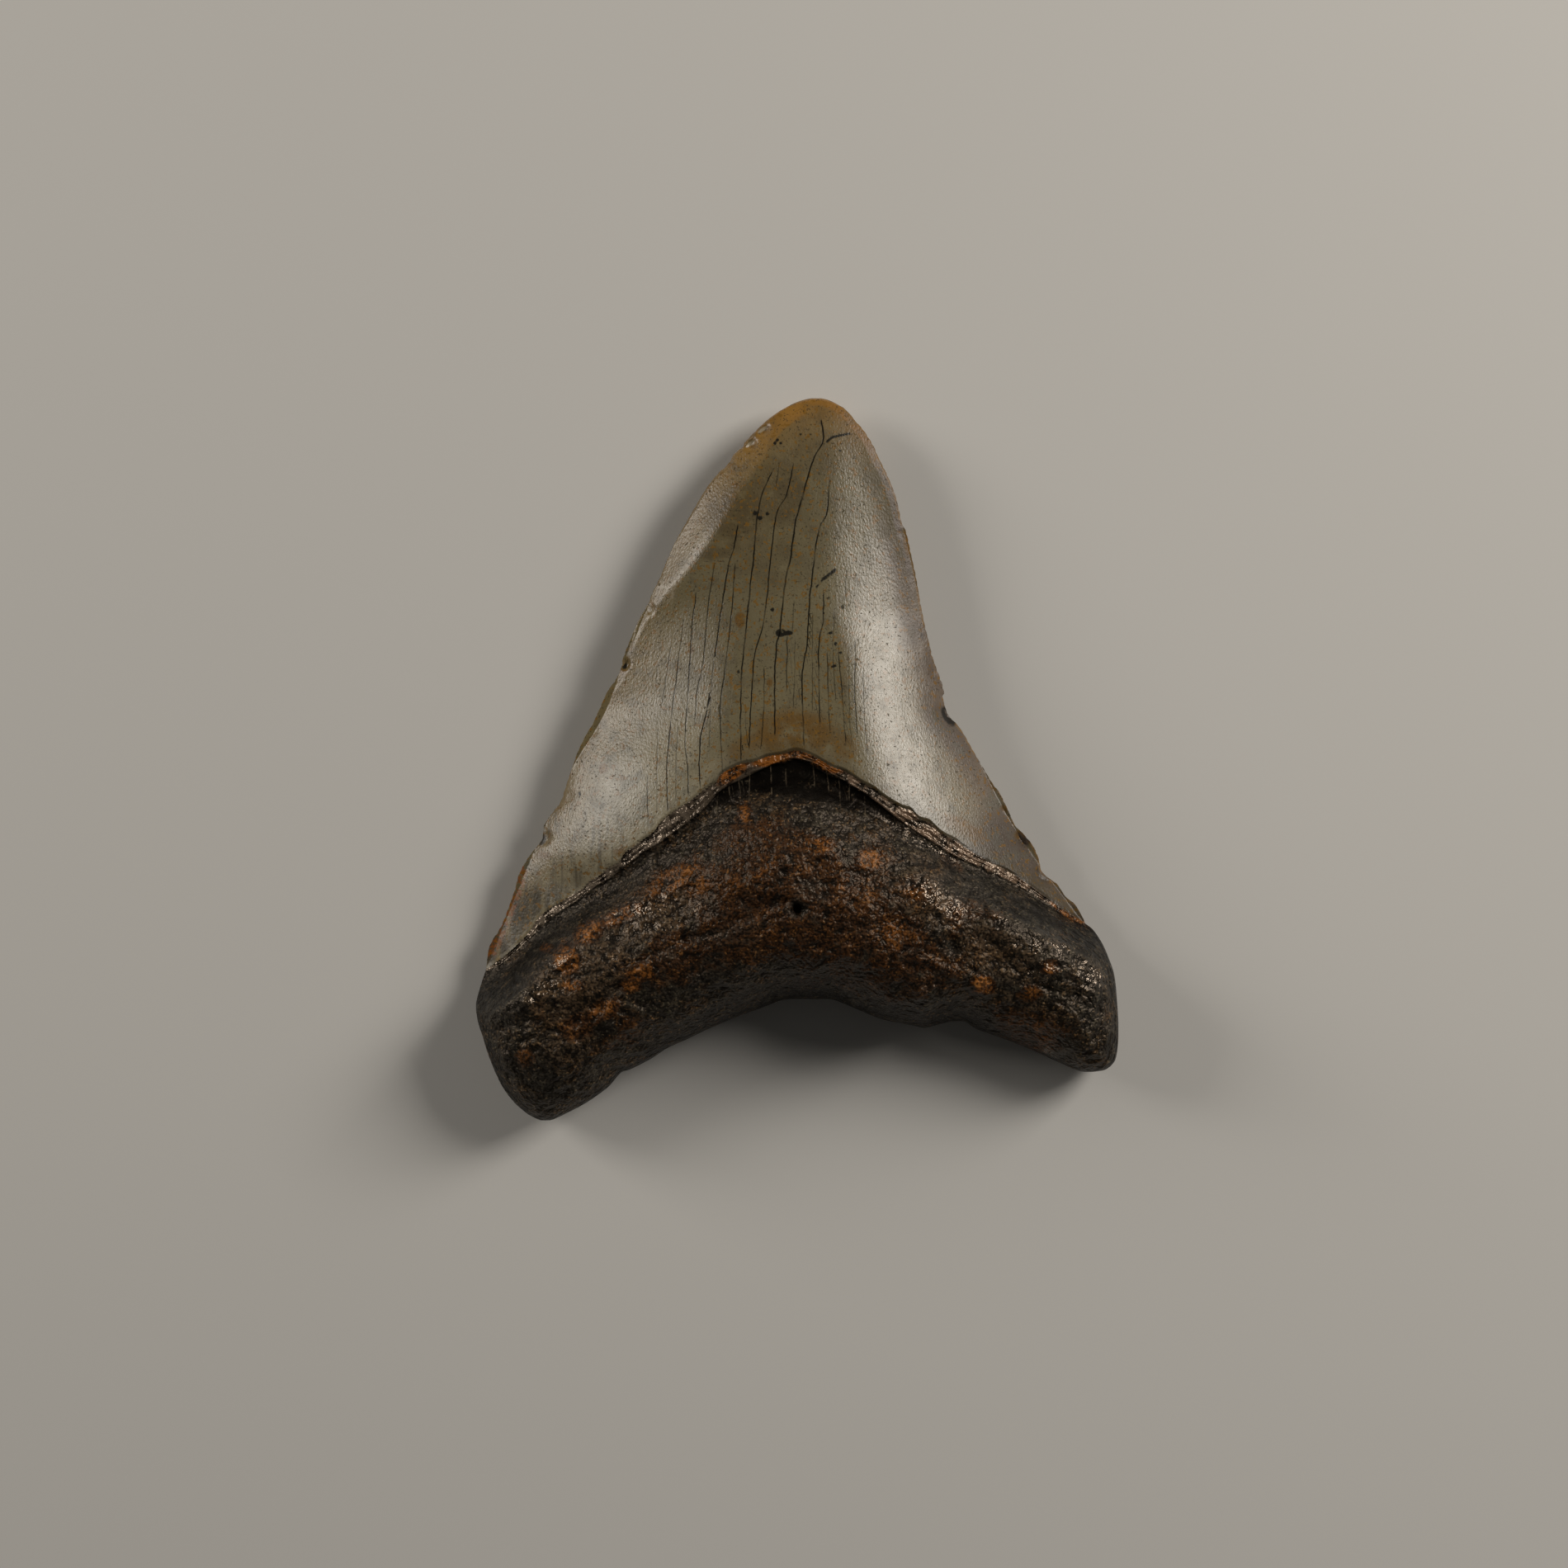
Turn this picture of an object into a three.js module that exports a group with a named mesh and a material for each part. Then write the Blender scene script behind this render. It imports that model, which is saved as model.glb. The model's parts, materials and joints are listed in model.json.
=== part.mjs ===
import * as THREE from 'three';

// A fossil shark tooth, one solid piece: a crown of enamel over a bony root with two lobes.
// It lies on its flatter outer face with the rounded inner face up.
// X runs across the tooth, Y from the root to the tip, Z up. Every length is in millimetres.

// Real size
const SLANT_HEIGHT = 101.6;
const SLANT_HEIGHT_PIXELS = 935;
const MM_PER_PIXEL = SLANT_HEIGHT / SLANT_HEIGHT_PIXELS;
const CENTRE_PIXEL_X = 966;
const CENTRE_PIXEL_Y = 920;

// Layers that stand on one another at the foot of the crown
const ENAMEL_STEP = [[0, 0.36], [0.3, 0.3], [0.5, 0.14], [0.7, 0.3], [1, 0.36]];
const ENAMEL_EDGE_WIDTH = 1.3;
const NECK_BAND_STEP = 0.28;
const LEDGE_WIDTH = 0.35;

// Slopes right beside the cutting edges, as rise over run, and the swelling within a millimetre
const UPPER_EDGE_SLOPE = 1.6;
const LOWER_EDGE_SLOPE = 0.6;
const EDGE_SWELL = 0.1;
const OUTER_EDGE_SWELL = 0.3;
const OUTER_FULLNESS = 2.6;

// How far the root's rounding reaches in from its outline
const ROOT_ROUNDING_ABOVE = 7.0;
const ROOT_ROUNDING_BELOW = 5.5;
const ROOT_ROUNDING_POWER = 2.1;

// Share of the root's length taken by the neck band, and the share over which the crown's
// section turns into the root's
const NECK_BAND_SHARE = 0.02;
const NECK_BLEND = 0.34;

// The root's slow lumps
const LUMP_HEIGHT = 0.3;
const LUMP_LENGTH = 9.5;

// Number of grid cells
const COLUMNS = 38;
const ROOT_ROWS = 20;

// Points on the outline, in pixels of a straight view of the inner face.
// The two crown edges have one point for each row of the grid, from the tip to the enamel's end.
const LEFT_EDGE = [
  [945, 498], [930, 509], [913, 525], [902, 537], [899, 543], [890, 550], [882, 563], [870, 574],
  [856, 592], [841, 617], [829, 638], [818, 658], [808, 680], [799, 702], [790, 720], [787, 729],
  [774, 752], [765, 772], [757, 792], [754, 801], [753, 809], [746, 824], [736, 838], [725, 862],
  [717, 879], [710, 890], [700, 911], [693, 931], [685, 955], [679, 972], [669, 985], [659, 1000],
  [658, 1010], [655, 1020], [641, 1037], [629, 1058], [623.5, 1078], [615, 1102], [606, 1124],
  [593, 1146], [589, 1172],
];
const RIGHT_EDGE = [
  [1022, 494], [1031, 503], [1036, 510], [1046, 521], [1058, 540], [1064, 554], [1075, 576],
  [1085, 601], [1090, 622], [1092.5, 634], [1098, 645], [1103.5, 670], [1110, 700], [1115, 730],
  [1121, 760], [1126, 780], [1129.5, 795], [1135, 811], [1141, 827], [1144, 840], [1142.5, 845],
  [1145.5, 858], [1151, 869], [1160, 874], [1167, 887], [1175, 902], [1184, 918], [1196, 938],
  [1204, 951], [1211, 960], [1221, 980], [1230, 1000], [1240, 1010], [1252, 1025], [1259, 1041],
  [1262, 1055], [1271, 1064], [1281, 1071], [1292, 1087], [1303, 1096], [1314, 1115],
];
const TIP = [[945, 498], [965, 487.5], [985, 482.5], [1003, 484.5], [1022, 494]];
const LEFT_LOBE_SIDE = [
  [588, 1177], [583, 1192], [578, 1210], [577, 1222], [580, 1240], [585, 1255], [591, 1275],
  [600, 1298], [610, 1318], [624, 1336], [640, 1350],
];
const RIGHT_LOBE_SIDE = [
  [1315, 1119], [1325, 1127], [1336, 1144], [1344, 1163], [1350, 1182], [1353, 1210], [1355, 1245],
  [1354, 1268], [1351, 1284], [1345, 1292],
];
const ROOT_FOOT = [
  [640, 1350], [655, 1357], [668, 1357], [690, 1347], [712, 1335], [737, 1317], [752, 1300],
  [765, 1295], [790, 1282], [808, 1270], [830, 1260], [855, 1248], [880, 1237], [900, 1229],
  [930, 1218], [945, 1212], [960, 1210], [990, 1210], [1010, 1211], [1040, 1223], [1070, 1235],
  [1105, 1242], [1120, 1245], [1140, 1240], [1155, 1237], [1170, 1238], [1182, 1246], [1215, 1258],
  [1248, 1271], [1285, 1288], [1310, 1298], [1335, 1297], [1345, 1292],
];

// Lines across the tooth: the enamel's lower rim and the neck band's lower rim on the inner face,
// and the enamel's flatter lower rim on the outer face
const ENAMEL_RIM = [
  [589, 1172], [610, 1157], [625, 1144], [642, 1126], [655, 1107], [680, 1090], [708, 1073],
  [726, 1059], [751, 1042], [774, 1019], [793, 1005], [810, 986], [837, 968], [856, 953],
  [875, 935], [897, 924], [931, 914], [964, 907], [996, 920], [1023, 932], [1046, 947],
  [1072, 964], [1092, 976], [1126, 994], [1159, 1017], [1193, 1039], [1231, 1059], [1273, 1089],
  [1314, 1115],
];
const NECK_RIM = [
  [588, 1177], [613, 1163], [642, 1136], [678, 1104], [722, 1073], [755, 1051], [784, 1029],
  [812, 1011], [841, 990], [858, 974], [876, 955], [902, 942], [935, 926], [958, 918],
  [983, 923], [1011, 939], [1036, 953], [1055, 966], [1078, 984], [1103, 1002], [1128, 1018],
  [1153, 1034], [1190, 1051], [1228, 1069], [1272, 1095], [1315, 1119],
];
const OUTER_ENAMEL_RIM = [
  [589, 1172], [650, 1128], [740, 1076], [850, 1035], [965, 1018], [1080, 1034], [1190, 1066],
  [1260, 1093], [1314, 1115],
];
const OUTER_NECK_RIM = [
  [588, 1177], [652, 1134], [742, 1082], [852, 1041], [965, 1024], [1080, 1040], [1188, 1072],
  [1258, 1099], [1315, 1119],
];

// The crown without its chips, as [Y, X] pairs, and the crest of its inner face
const WHOLE_LEFT_EDGE = [
  [47.5, 0], [44, -5.5], [36, -12], [24, -18], [11, -23.4], [0, -29], [-12, -34.6], [-28, -41.2],
];
const WHOLE_RIGHT_EDGE = [
  [47.5, 4.5], [44, 8], [36, 12], [24, 15.7], [11, 18.6], [0, 23.8], [-10, 29.2], [-22, 38],
];
const CREST_LINE = [[47.5, 2.8], [20, 1.2], [0, 0], [-30, 0]];
// The flat middle of the inner face ends here on the right
const RIGHT_CREASE = [
  [47.5, 3.2], [42, 4.2], [36, 5], [28, 5], [20, 5.2], [12, 5.8], [4, 6.6], [-5, 6], [-20, 2],
];

// Heights of the crown above the surface it lies on, as [Y, Z] pairs
const CREST_HEIGHT = [
  [48, 4.5], [44, 5.8], [38, 7.2], [28, 8.7], [15, 10.5], [2, 13], [-10, 14.9], [-30, 15.5],
];
const EDGE_HEIGHT = [
  [48, 4.5], [43, 5.2], [37, 5.5], [28, 5.58], [15, 5.6], [8, 5.35], [-12, 4.1], [-22, 3.5], [-28, 3.5],
];
const BELLY_HEIGHT = [[48, 3.1], [40, 1.9], [30, 0.8], [20, 0.1], [12, -0.5], [-30, -0.5]];

// The upper crown has straight flanks: where each one's shoulder lies and how steeply it falls,
// as [Y, value]. The left one ends in a bevel that a crease sets off.
const LEFT_FLANK_SLOPE = [
  [46, 0], [33, 0.04], [28.3, 0.12], [23.9, 0.24], [19.6, 0.34], [10.9, 0.42], [2, 0.5],
];
const LEFT_SHOULDER = [[46, -1], [33, -6], [19.6, -7], [10.9, -8.3], [2, -9]];
const RIGHT_FLANK_SLOPE = [[46, 0.24], [36, 0.3], [28, 0.36], [20, 0.43], [12, 0.52]];
const RIGHT_SHOULDER = [[47.5, 3], [42, 3.6], [36, 3.8], [28, 4.1], [20, 5.2], [12, 6.8]];
const SHOULDER_BEND = 1.5;
const LEFT_BEVEL_SLOPE = [
  [46, 0.42], [40, 0.48], [36.9, 0.57], [32.6, 0.68], [28.3, 0.8], [23.9, 0.88], [19.6, 0.9],
  [15.2, 1.05], [10.9, 1.3], [-30, 1.8],
];
const BEVEL_START = 0.15;
const BEVEL_CREASE_SHARPNESS = 9;
const EDGE_SHARPNESS = 4;

// The lower crown is a full dome on both sides: how full, as [Y, power], and where it takes over
const LEFT_FULLNESS = [[46, 6], [10, 3], [2, 2.3], [-4, 2.4], [-12, 2.2], [-17, 1.6], [-30, 1.6]];
const RIGHT_FULLNESS = [[46, 1.5], [30, 1.5], [4, 1.55], [-8, 1.9], [-30, 2.1]];
const LEFT_DOME = { start: 9, reach: 10 };
const RIGHT_DOME = { start: 20, reach: 10 };

// The enamel keeps its thickness up to the cutting edge above here, and thins to it below
const THICK_EDGE = { start: -22, reach: 10 };

// The root along its width, from the left lobe's end (0) to the right one's (1)
const RIDGE_HEIGHT = [
  [0, 12.6], [0.15, 14.6], [0.32, 17.3], [0.5, 20.3], [0.68, 17.8], [0.85, 15], [1, 12.8],
];
const RIDGE_PLACE = [[0, 0.36], [0.2, 0.42], [0.5, 0.56], [0.8, 0.42], [1, 0.38]];
const RISE_FROM_NECK = [[0, 3.2], [0.2, 4.2], [0.5, 6.2], [0.8, 4.4], [1, 3.2]];
const FALL_TO_FOOT = [[0, 3.4], [0.2, 4.6], [0.5, 7.2], [0.8, 5], [1, 3.2]];
const ROOT_MIDDLE_HEIGHT = [[0, 5.6], [0.2, 5.8], [0.5, 7], [0.8, 6], [1, 5.6]];
const OUTER_FACE_LIFT = [
  [0, -0.6], [0.22, -0.6], [0.38, 0.9], [0.5, 1.8], [0.62, 0.9], [0.78, -0.6], [1, -0.6],
];
const OUTER_NECK_LIFT = 0.35;
const BOURLETTE_DIP = [[0, 0.15], [0.3, 0.35], [0.5, 0.6], [0.7, 0.35], [1, 0.15]];
const BOURLETTE_PLACE = 0.085;
const BOURLETTE_SPREAD = 0.05;

// Single features of the root's inner face: place in pixels, radius, height (a pit is negative)
const LUMPS_AND_PITS = [
  { place: [965.5, 1100], radius: 0.7, height: -2.6 },
  { place: [655, 1216], radius: 0.9, height: -0.6 },
  { place: [1151, 1144], radius: 1.5, height: -0.8 },
  { place: [1246, 1174], radius: 0.8, height: -0.6 },

  { place: [690, 1152], radius: 1.7, height: 0.6 },
  { place: [660, 1160], radius: 1.9, height: 0.55 },
  { place: [700, 1200], radius: 1.6, height: 0.5 },
  { place: [1135, 1098], radius: 3.2, height: 0.5 },
  { place: [1213, 1132], radius: 2.6, height: 0.5 },
  { place: [1270, 1160], radius: 3.0, height: 0.6 },
  { place: [1120, 1215], radius: 4.5, height: 0.9 },
  { place: [1188, 1191], radius: 1.3, height: 0.45 },
];
const CREASES_AND_RIDGES = [
  { line: [[947, 1090], [926, 1096], [882, 1124], [833, 1139]], radius: 1.1, height: -0.6 },
  { line: [[752, 1193], [738, 1205], [725, 1221]], radius: 0.9, height: -0.7 },
  { line: [[1128, 1118], [1140, 1136], [1144, 1152]], radius: 0.8, height: 0.45 },
  { line: [[1103, 1153], [1132, 1168], [1161, 1183], [1190, 1204]], radius: 0.9, height: 0.5 },
  { line: [[1205, 1150], [1250, 1186], [1300, 1208]], radius: 1.2, height: -0.45 },
];

const FOOT_ROW_CROWDING = 0.4;
const COLUMN_CROWDING = 0.45;
const FORAMEN_COLUMN = 0.476;

function toMillimetres([pixelX, pixelY]) {
  return [
    (pixelX - CENTRE_PIXEL_X) * MM_PER_PIXEL,
    (CENTRE_PIXEL_Y - pixelY) * MM_PER_PIXEL,
  ];
}

function clamp01(value) {
  return Math.min(1, Math.max(0, value));
}

function smoothStep(value) {
  const t = clamp01(value);
  return t * t * (3 - 2 * t);
}

function mix(a, b, t) {
  return a + (b - a) * t;
}

// Reads a value from a list of stations and eases from one to the next with matching slopes.
function atStation(stations, position) {
  const rising = stations[0][0] < stations[stations.length - 1][0];
  const list = rising ? stations : [...stations].reverse();
  const last = list.length - 1;
  if (position <= list[0][0]) {
    return list[0][1];
  }
  if (position >= list[last][0]) {
    return list[last][1];
  }
  let i = 0;
  while (position > list[i + 1][0]) {
    i += 1;
  }
  const slope = (k) => {
    const before = Math.max(0, k - 1);
    const after = Math.min(last, k + 1);
    return (list[after][1] - list[before][1]) / (list[after][0] - list[before][0]);
  };
  const run = list[i + 1][0] - list[i][0];
  const t = (position - list[i][0]) / run;
  const startSlope = slope(i) * run;
  const endSlope = slope(i + 1) * run;
  return (
    (2 * t ** 3 - 3 * t ** 2 + 1) * list[i][1]
    + (t ** 3 - 2 * t ** 2 + t) * startSlope
    + (3 * t ** 2 - 2 * t ** 3) * list[i + 1][1]
    + (t ** 3 - t ** 2) * endSlope
  );
}

// A polyline that can be read at any share of its length.
function makeLine(points) {
  const lengths = [0];
  for (let i = 1; i < points.length; i += 1) {
    const dx = points[i][0] - points[i - 1][0];
    const dy = points[i][1] - points[i - 1][1];
    lengths.push(lengths[i - 1] + Math.hypot(dx, dy));
  }
  const total = lengths[lengths.length - 1];
  const at = (share) => {
    const wanted = clamp01(share) * total;
    let i = 1;
    while (i < points.length - 1 && lengths[i] < wanted) {
      i += 1;
    }
    const t = (wanted - lengths[i - 1]) / (lengths[i] - lengths[i - 1]);
    return [
      mix(points[i - 1][0], points[i][0], t),
      mix(points[i - 1][1], points[i][1], t),
    ];
  };
  const shares = lengths.map((length) => length / total);
  return { points, shares, at };
}

function distanceToLine(points, [x, y]) {
  let nearest = Infinity;
  for (let i = 1; i < points.length; i += 1) {
    const [ax, ay] = points[i - 1];
    const [bx, by] = points[i];
    const dx = bx - ax;
    const dy = by - ay;
    const t = clamp01(((x - ax) * dx + (y - ay) * dy) / (dx * dx + dy * dy));
    nearest = Math.min(nearest, Math.hypot(x - ax - t * dx, y - ay - t * dy));
  }
  return nearest;
}

// The smaller of two heights with a rounded meeting line; it stays 0 where either is 0.
function softMinimum(a, b, sharpness) {
  if (a <= 0 || b <= 0) {
    return 0;
  }
  return (a * b) / (a ** sharpness + b ** sharpness) ** (1 / sharpness);
}

function makeOutline() {
  const points = [
    ...[...LEFT_EDGE].reverse(),
    ...TIP.slice(1),
    ...RIGHT_EDGE.slice(1),
    ...RIGHT_LOBE_SIDE,
    ...[...ROOT_FOOT].reverse().slice(1),
    ...[...LEFT_LOBE_SIDE].reverse().slice(1),
  ];
  return [...points, LEFT_EDGE[LEFT_EDGE.length - 1]].map(toMillimetres);
}

const OUTLINE = makeOutline();

function isLeftOfCrest([x, y]) {
  return x < atStation(CREST_LINE, y);
}

// Where a point lies between the flat middle (0) and the unchipped edge (1 on either side)
function shareOfHalfWidth([x, y]) {
  const onLeft = isLeftOfCrest([x, y]);
  const start = atStation(onLeft ? CREST_LINE : RIGHT_CREASE, y);
  const edge = atStation(onLeft ? WHOLE_LEFT_EDGE : WHOLE_RIGHT_EDGE, y);
  const outwards = onLeft ? start - x : x - start;
  return clamp01(outwards / Math.max(0.5, Math.abs(edge - start)));
}

// Nothing before the shoulder and a straight fall beyond it, with a soft bend between the two
function fallPastShoulder(beyond, slope) {
  return slope * SHOULDER_BEND * Math.log1p(Math.exp(beyond / SHOULDER_BEND));
}

// How far the inner face drops from the crest: straight flanks above, a dome near the root
function crestFall([x, y], rise) {
  const onLeft = isLeftOfCrest([x, y]);
  const fullness = atStation(onLeft ? LEFT_FULLNESS : RIGHT_FULLNESS, y);
  const domed = rise * shareOfHalfWidth([x, y]) ** fullness;
  const leftFlank = fallPastShoulder(atStation(LEFT_SHOULDER, y) - x, atStation(LEFT_FLANK_SLOPE, y));
  const rightFlank = fallPastShoulder(x - atStation(RIGHT_SHOULDER, y), atStation(RIGHT_FLANK_SLOPE, y));
  const leftShare = smoothStep((LEFT_DOME.start - y) / LEFT_DOME.reach);
  const rightShare = smoothStep((RIGHT_DOME.start - y) / RIGHT_DOME.reach);
  return domed * (onLeft ? leftShare : rightShare)
    + leftFlank * (1 - leftShare)
    + rightFlank * (1 - rightShare);
}

// The bevel follows the edge as it was before it chipped.
function leftBevelHeight([x, y]) {
  const lean = (atStation(WHOLE_LEFT_EDGE, y + 1) - atStation(WHOLE_LEFT_EDGE, y - 1)) / 2;
  const reach = Math.max(0, x - atStation(WHOLE_LEFT_EDGE, y)) / Math.hypot(1, lean);
  return atStation(LEFT_BEVEL_SLOPE, y) * (reach + BEVEL_START);
}

function crownInnerHeight(point, inset, step) {
  const edge = atStation(EDGE_HEIGHT, point[1]);
  const thickShare = smoothStep((point[1] - THICK_EDGE.start) / THICK_EDGE.reach);
  const thinned = mix(clamp01(inset / ENAMEL_EDGE_WIDTH), 1, thickShare);
  const rise = atStation(CREST_HEIGHT, point[1]) + step * thinned - edge;
  const body = Math.max(0, rise - crestFall(point, rise)) + EDGE_SWELL * clamp01(inset);
  const whole = softMinimum(body, UPPER_EDGE_SLOPE * inset * (1 + inset), EDGE_SHARPNESS);
  if (!isLeftOfCrest(point)) {
    return edge + whole;
  }
  return edge + softMinimum(whole, leftBevelHeight(point), BEVEL_CREASE_SHARPNESS);
}

function crownOuterHeight(point, inset) {
  const edge = atStation(EDGE_HEIGHT, point[1]);
  const belly = atStation(BELLY_HEIGHT, point[1]);
  const depth = (edge - belly) * (1 - shareOfHalfWidth(point) ** OUTER_FULLNESS);
  const swollen = depth + OUTER_EDGE_SWELL * clamp01(inset);
  return edge - softMinimum(swollen, LOWER_EDGE_SLOPE * inset, EDGE_SHARPNESS);
}

// Height that a point near the root's outline has kept, from 0 at the outline to 1 inside
function rounding(inset, reach) {
  const q = clamp01(inset / reach);
  return (1 - (1 - q) ** ROOT_ROUNDING_POWER) ** (1 / ROOT_ROUNDING_POWER);
}

function rootInnerHeight(across, down, inset) {
  const ridgePlace = atStation(RIDGE_PLACE, across);
  const above = Math.max(0, (ridgePlace - down) / ridgePlace);
  const below = Math.max(0, (down - ridgePlace) / (1 - ridgePlace));
  const body = atStation(RIDGE_HEIGHT, across)
    - atStation(RISE_FROM_NECK, across) * above ** 2
    - atStation(FALL_TO_FOOT, across) * below ** 2;
  const middle = atStation(ROOT_MIDDLE_HEIGHT, across);
  return middle + (body - middle) * rounding(inset, ROOT_ROUNDING_ABOVE);
}

function rootOuterHeight(across, down, inset) {
  const middle = atStation(ROOT_MIDDLE_HEIGHT, across);
  const body = mix(OUTER_NECK_LIFT, atStation(OUTER_FACE_LIFT, across), smoothStep(down / 0.55));
  return middle - (middle - body) * rounding(inset, ROOT_ROUNDING_BELOW);
}

function bourletteDip(across, down) {
  const offset = (down - BOURLETTE_PLACE) / BOURLETTE_SPREAD;
  return -atStation(BOURLETTE_DIP, across) * Math.exp(-offset * offset);
}

function slowLumps([x, y]) {
  const a = (2 * Math.PI * (x + 0.4 * y)) / LUMP_LENGTH;
  const b = (2 * Math.PI * (y - 0.3 * x)) / (LUMP_LENGTH * 0.8);
  return LUMP_HEIGHT * (0.5 * Math.sin(a + 1.3) + 0.5 * Math.sin(b + Math.sin(a * 0.6)));
}

function featureHeight(point) {
  let height = 0;
  for (const feature of LUMPS_AND_PITS) {
    const [fx, fy] = toMillimetres(feature.place);
    const distance = Math.hypot(point[0] - fx, point[1] - fy) / feature.radius;
    height += feature.height * Math.exp(-(distance ** 2));
  }
  for (const feature of CREASES_AND_RIDGES) {
    const distance = distanceToLine(feature.line.map(toMillimetres), point) / feature.radius;
    height += feature.height * Math.exp(-(distance ** 2));
  }
  return height;
}

// Height of the seam where the two faces meet, which is the cutting edge or the root's flank
function seamHeight({ point, across, down }) {
  const root = atStation(ROOT_MIDDLE_HEIGHT, across);
  return mix(atStation(EDGE_HEIGHT, point[1]), root, smoothStep(down / NECK_BLEND));
}

function innerHeight({ point, across, down, layer }) {
  const inset = distanceToLine(OUTLINE, point);
  const blend = smoothStep(down / NECK_BLEND);
  const crown = crownInnerHeight(point, inset, layer);
  const root = rootInnerHeight(across, down, inset);
  const rough = (slowLumps(point) + featureHeight(point)) * smoothStep(inset / 3);
  const dip = bourletteDip(across, down) * clamp01(inset / ENAMEL_EDGE_WIDTH);
  return mix(crown, root, blend) + rough * blend + dip;
}

function outerHeight({ point, across, down, layer }) {
  const inset = distanceToLine(OUTLINE, point);
  const crown = Math.max(0, crownOuterHeight(point, inset));
  const root = rootOuterHeight(across, down, inset);
  const recess = layer * clamp01(inset / ENAMEL_EDGE_WIDTH);
  return Math.max(0, mix(crown + recess, root, smoothStep(down / NECK_BLEND)));
}

// Crowds evenly spaced shares of a line toward both of its ends
function crowded(share, amount) {
  return share - (amount * Math.sin(2 * Math.PI * share)) / (2 * Math.PI);
}

function columnShares() {
  const shares = [];
  for (let i = 0; i <= COLUMNS; i += 1) {
    shares.push(crowded(i / COLUMNS, COLUMN_CROWDING));
  }
  const nearest = shares.reduce((best, share, i) => (
    Math.abs(share - FORAMEN_COLUMN) < Math.abs(shares[best] - FORAMEN_COLUMN) ? i : best
  ), 0);
  shares[nearest] = FORAMEN_COLUMN;
  return shares;
}

// A row of the grid between two boundary lines, bent so that it meets all four boundaries
function blendedPoint(top, foot, left, right, across, down) {
  const t = top.at(across);
  const f = foot.at(across);
  return [0, 1].map((k) => {
    const sides = mix(left[k], right[k], across);
    const ends = mix(t[k], f[k], down);
    const corners = mix(
      mix(top.points[0][k], top.points[top.points.length - 1][k], across),
      mix(foot.points[0][k], foot.points[foot.points.length - 1][k], across),
      down,
    );
    return sides + ends - corners;
  });
}

function crownRows(columns, enamelRim, layerAt) {
  const left = makeLine(LEFT_EDGE.map(toMillimetres));
  const right = makeLine(RIGHT_EDGE.map(toMillimetres));
  const tip = makeLine(TIP.map(toMillimetres));
  return left.points.map((leftPoint, i) => {
    const down = (left.shares[i] + right.shares[i]) / 2;
    return columns.map((across) => ({
      point: blendedPoint(tip, enamelRim, leftPoint, right.points[i], across, down),
      across,
      down: 0,
      layer: layerAt(across),
    }));
  });
}

function shiftedRow(row, distance, layer) {
  const last = row.length - 1;
  return row.map((cell, i) => ({
    ...cell,
    point: i === 0 || i === last
      ? cell.point
      : [cell.point[0], cell.point[1] - distance],
    layer,
  }));
}

function neckRow(columns, neckRim, layer) {
  return columns.map((across) => ({
    point: neckRim.at(across),
    across,
    down: NECK_BAND_SHARE,
    layer,
  }));
}

function rootRows(columns, neckRim) {
  const left = makeLine(LEFT_LOBE_SIDE.map(toMillimetres));
  const right = makeLine(RIGHT_LOBE_SIDE.map(toMillimetres));
  const foot = makeLine(ROOT_FOOT.map(toMillimetres));
  const rows = [];
  for (let i = 1; i <= ROOT_ROWS; i += 1) {
    const share = crowded(i / ROOT_ROWS, FOOT_ROW_CROWDING);
    const leftPoint = left.at(share);
    const rightPoint = right.at(share);
    rows.push(columns.map((across) => ({
      point: blendedPoint(neckRim, foot, leftPoint, rightPoint, across, share),
      across,
      down: mix(NECK_BAND_SHARE, 1, share),
      layer: 0,
    })));
  }
  return rows;
}

// All grid rows of one face, from the tip to the foot of the root. The enamel's step can change
// across the tooth; a negative step is a recess.
function faceRows(enamelPixels, neckPixels, enamelStepAt, neckStep) {
  const columns = columnShares();
  const enamelRim = makeLine(enamelPixels.map(toMillimetres));
  const neckRim = makeLine(neckPixels.map(toMillimetres));
  const crown = crownRows(columns, enamelRim, (across) => enamelStepAt(across) + neckStep);
  const underEnamel = shiftedRow(crown[crown.length - 1], LEDGE_WIDTH, neckStep);
  const neck = neckRow(columns, neckRim, neckStep);
  const underNeck = shiftedRow(neck, LEDGE_WIDTH, 0);
  return [...crown, underEnamel, neck, underNeck, ...rootRows(columns, neckRim)];
}

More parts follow.
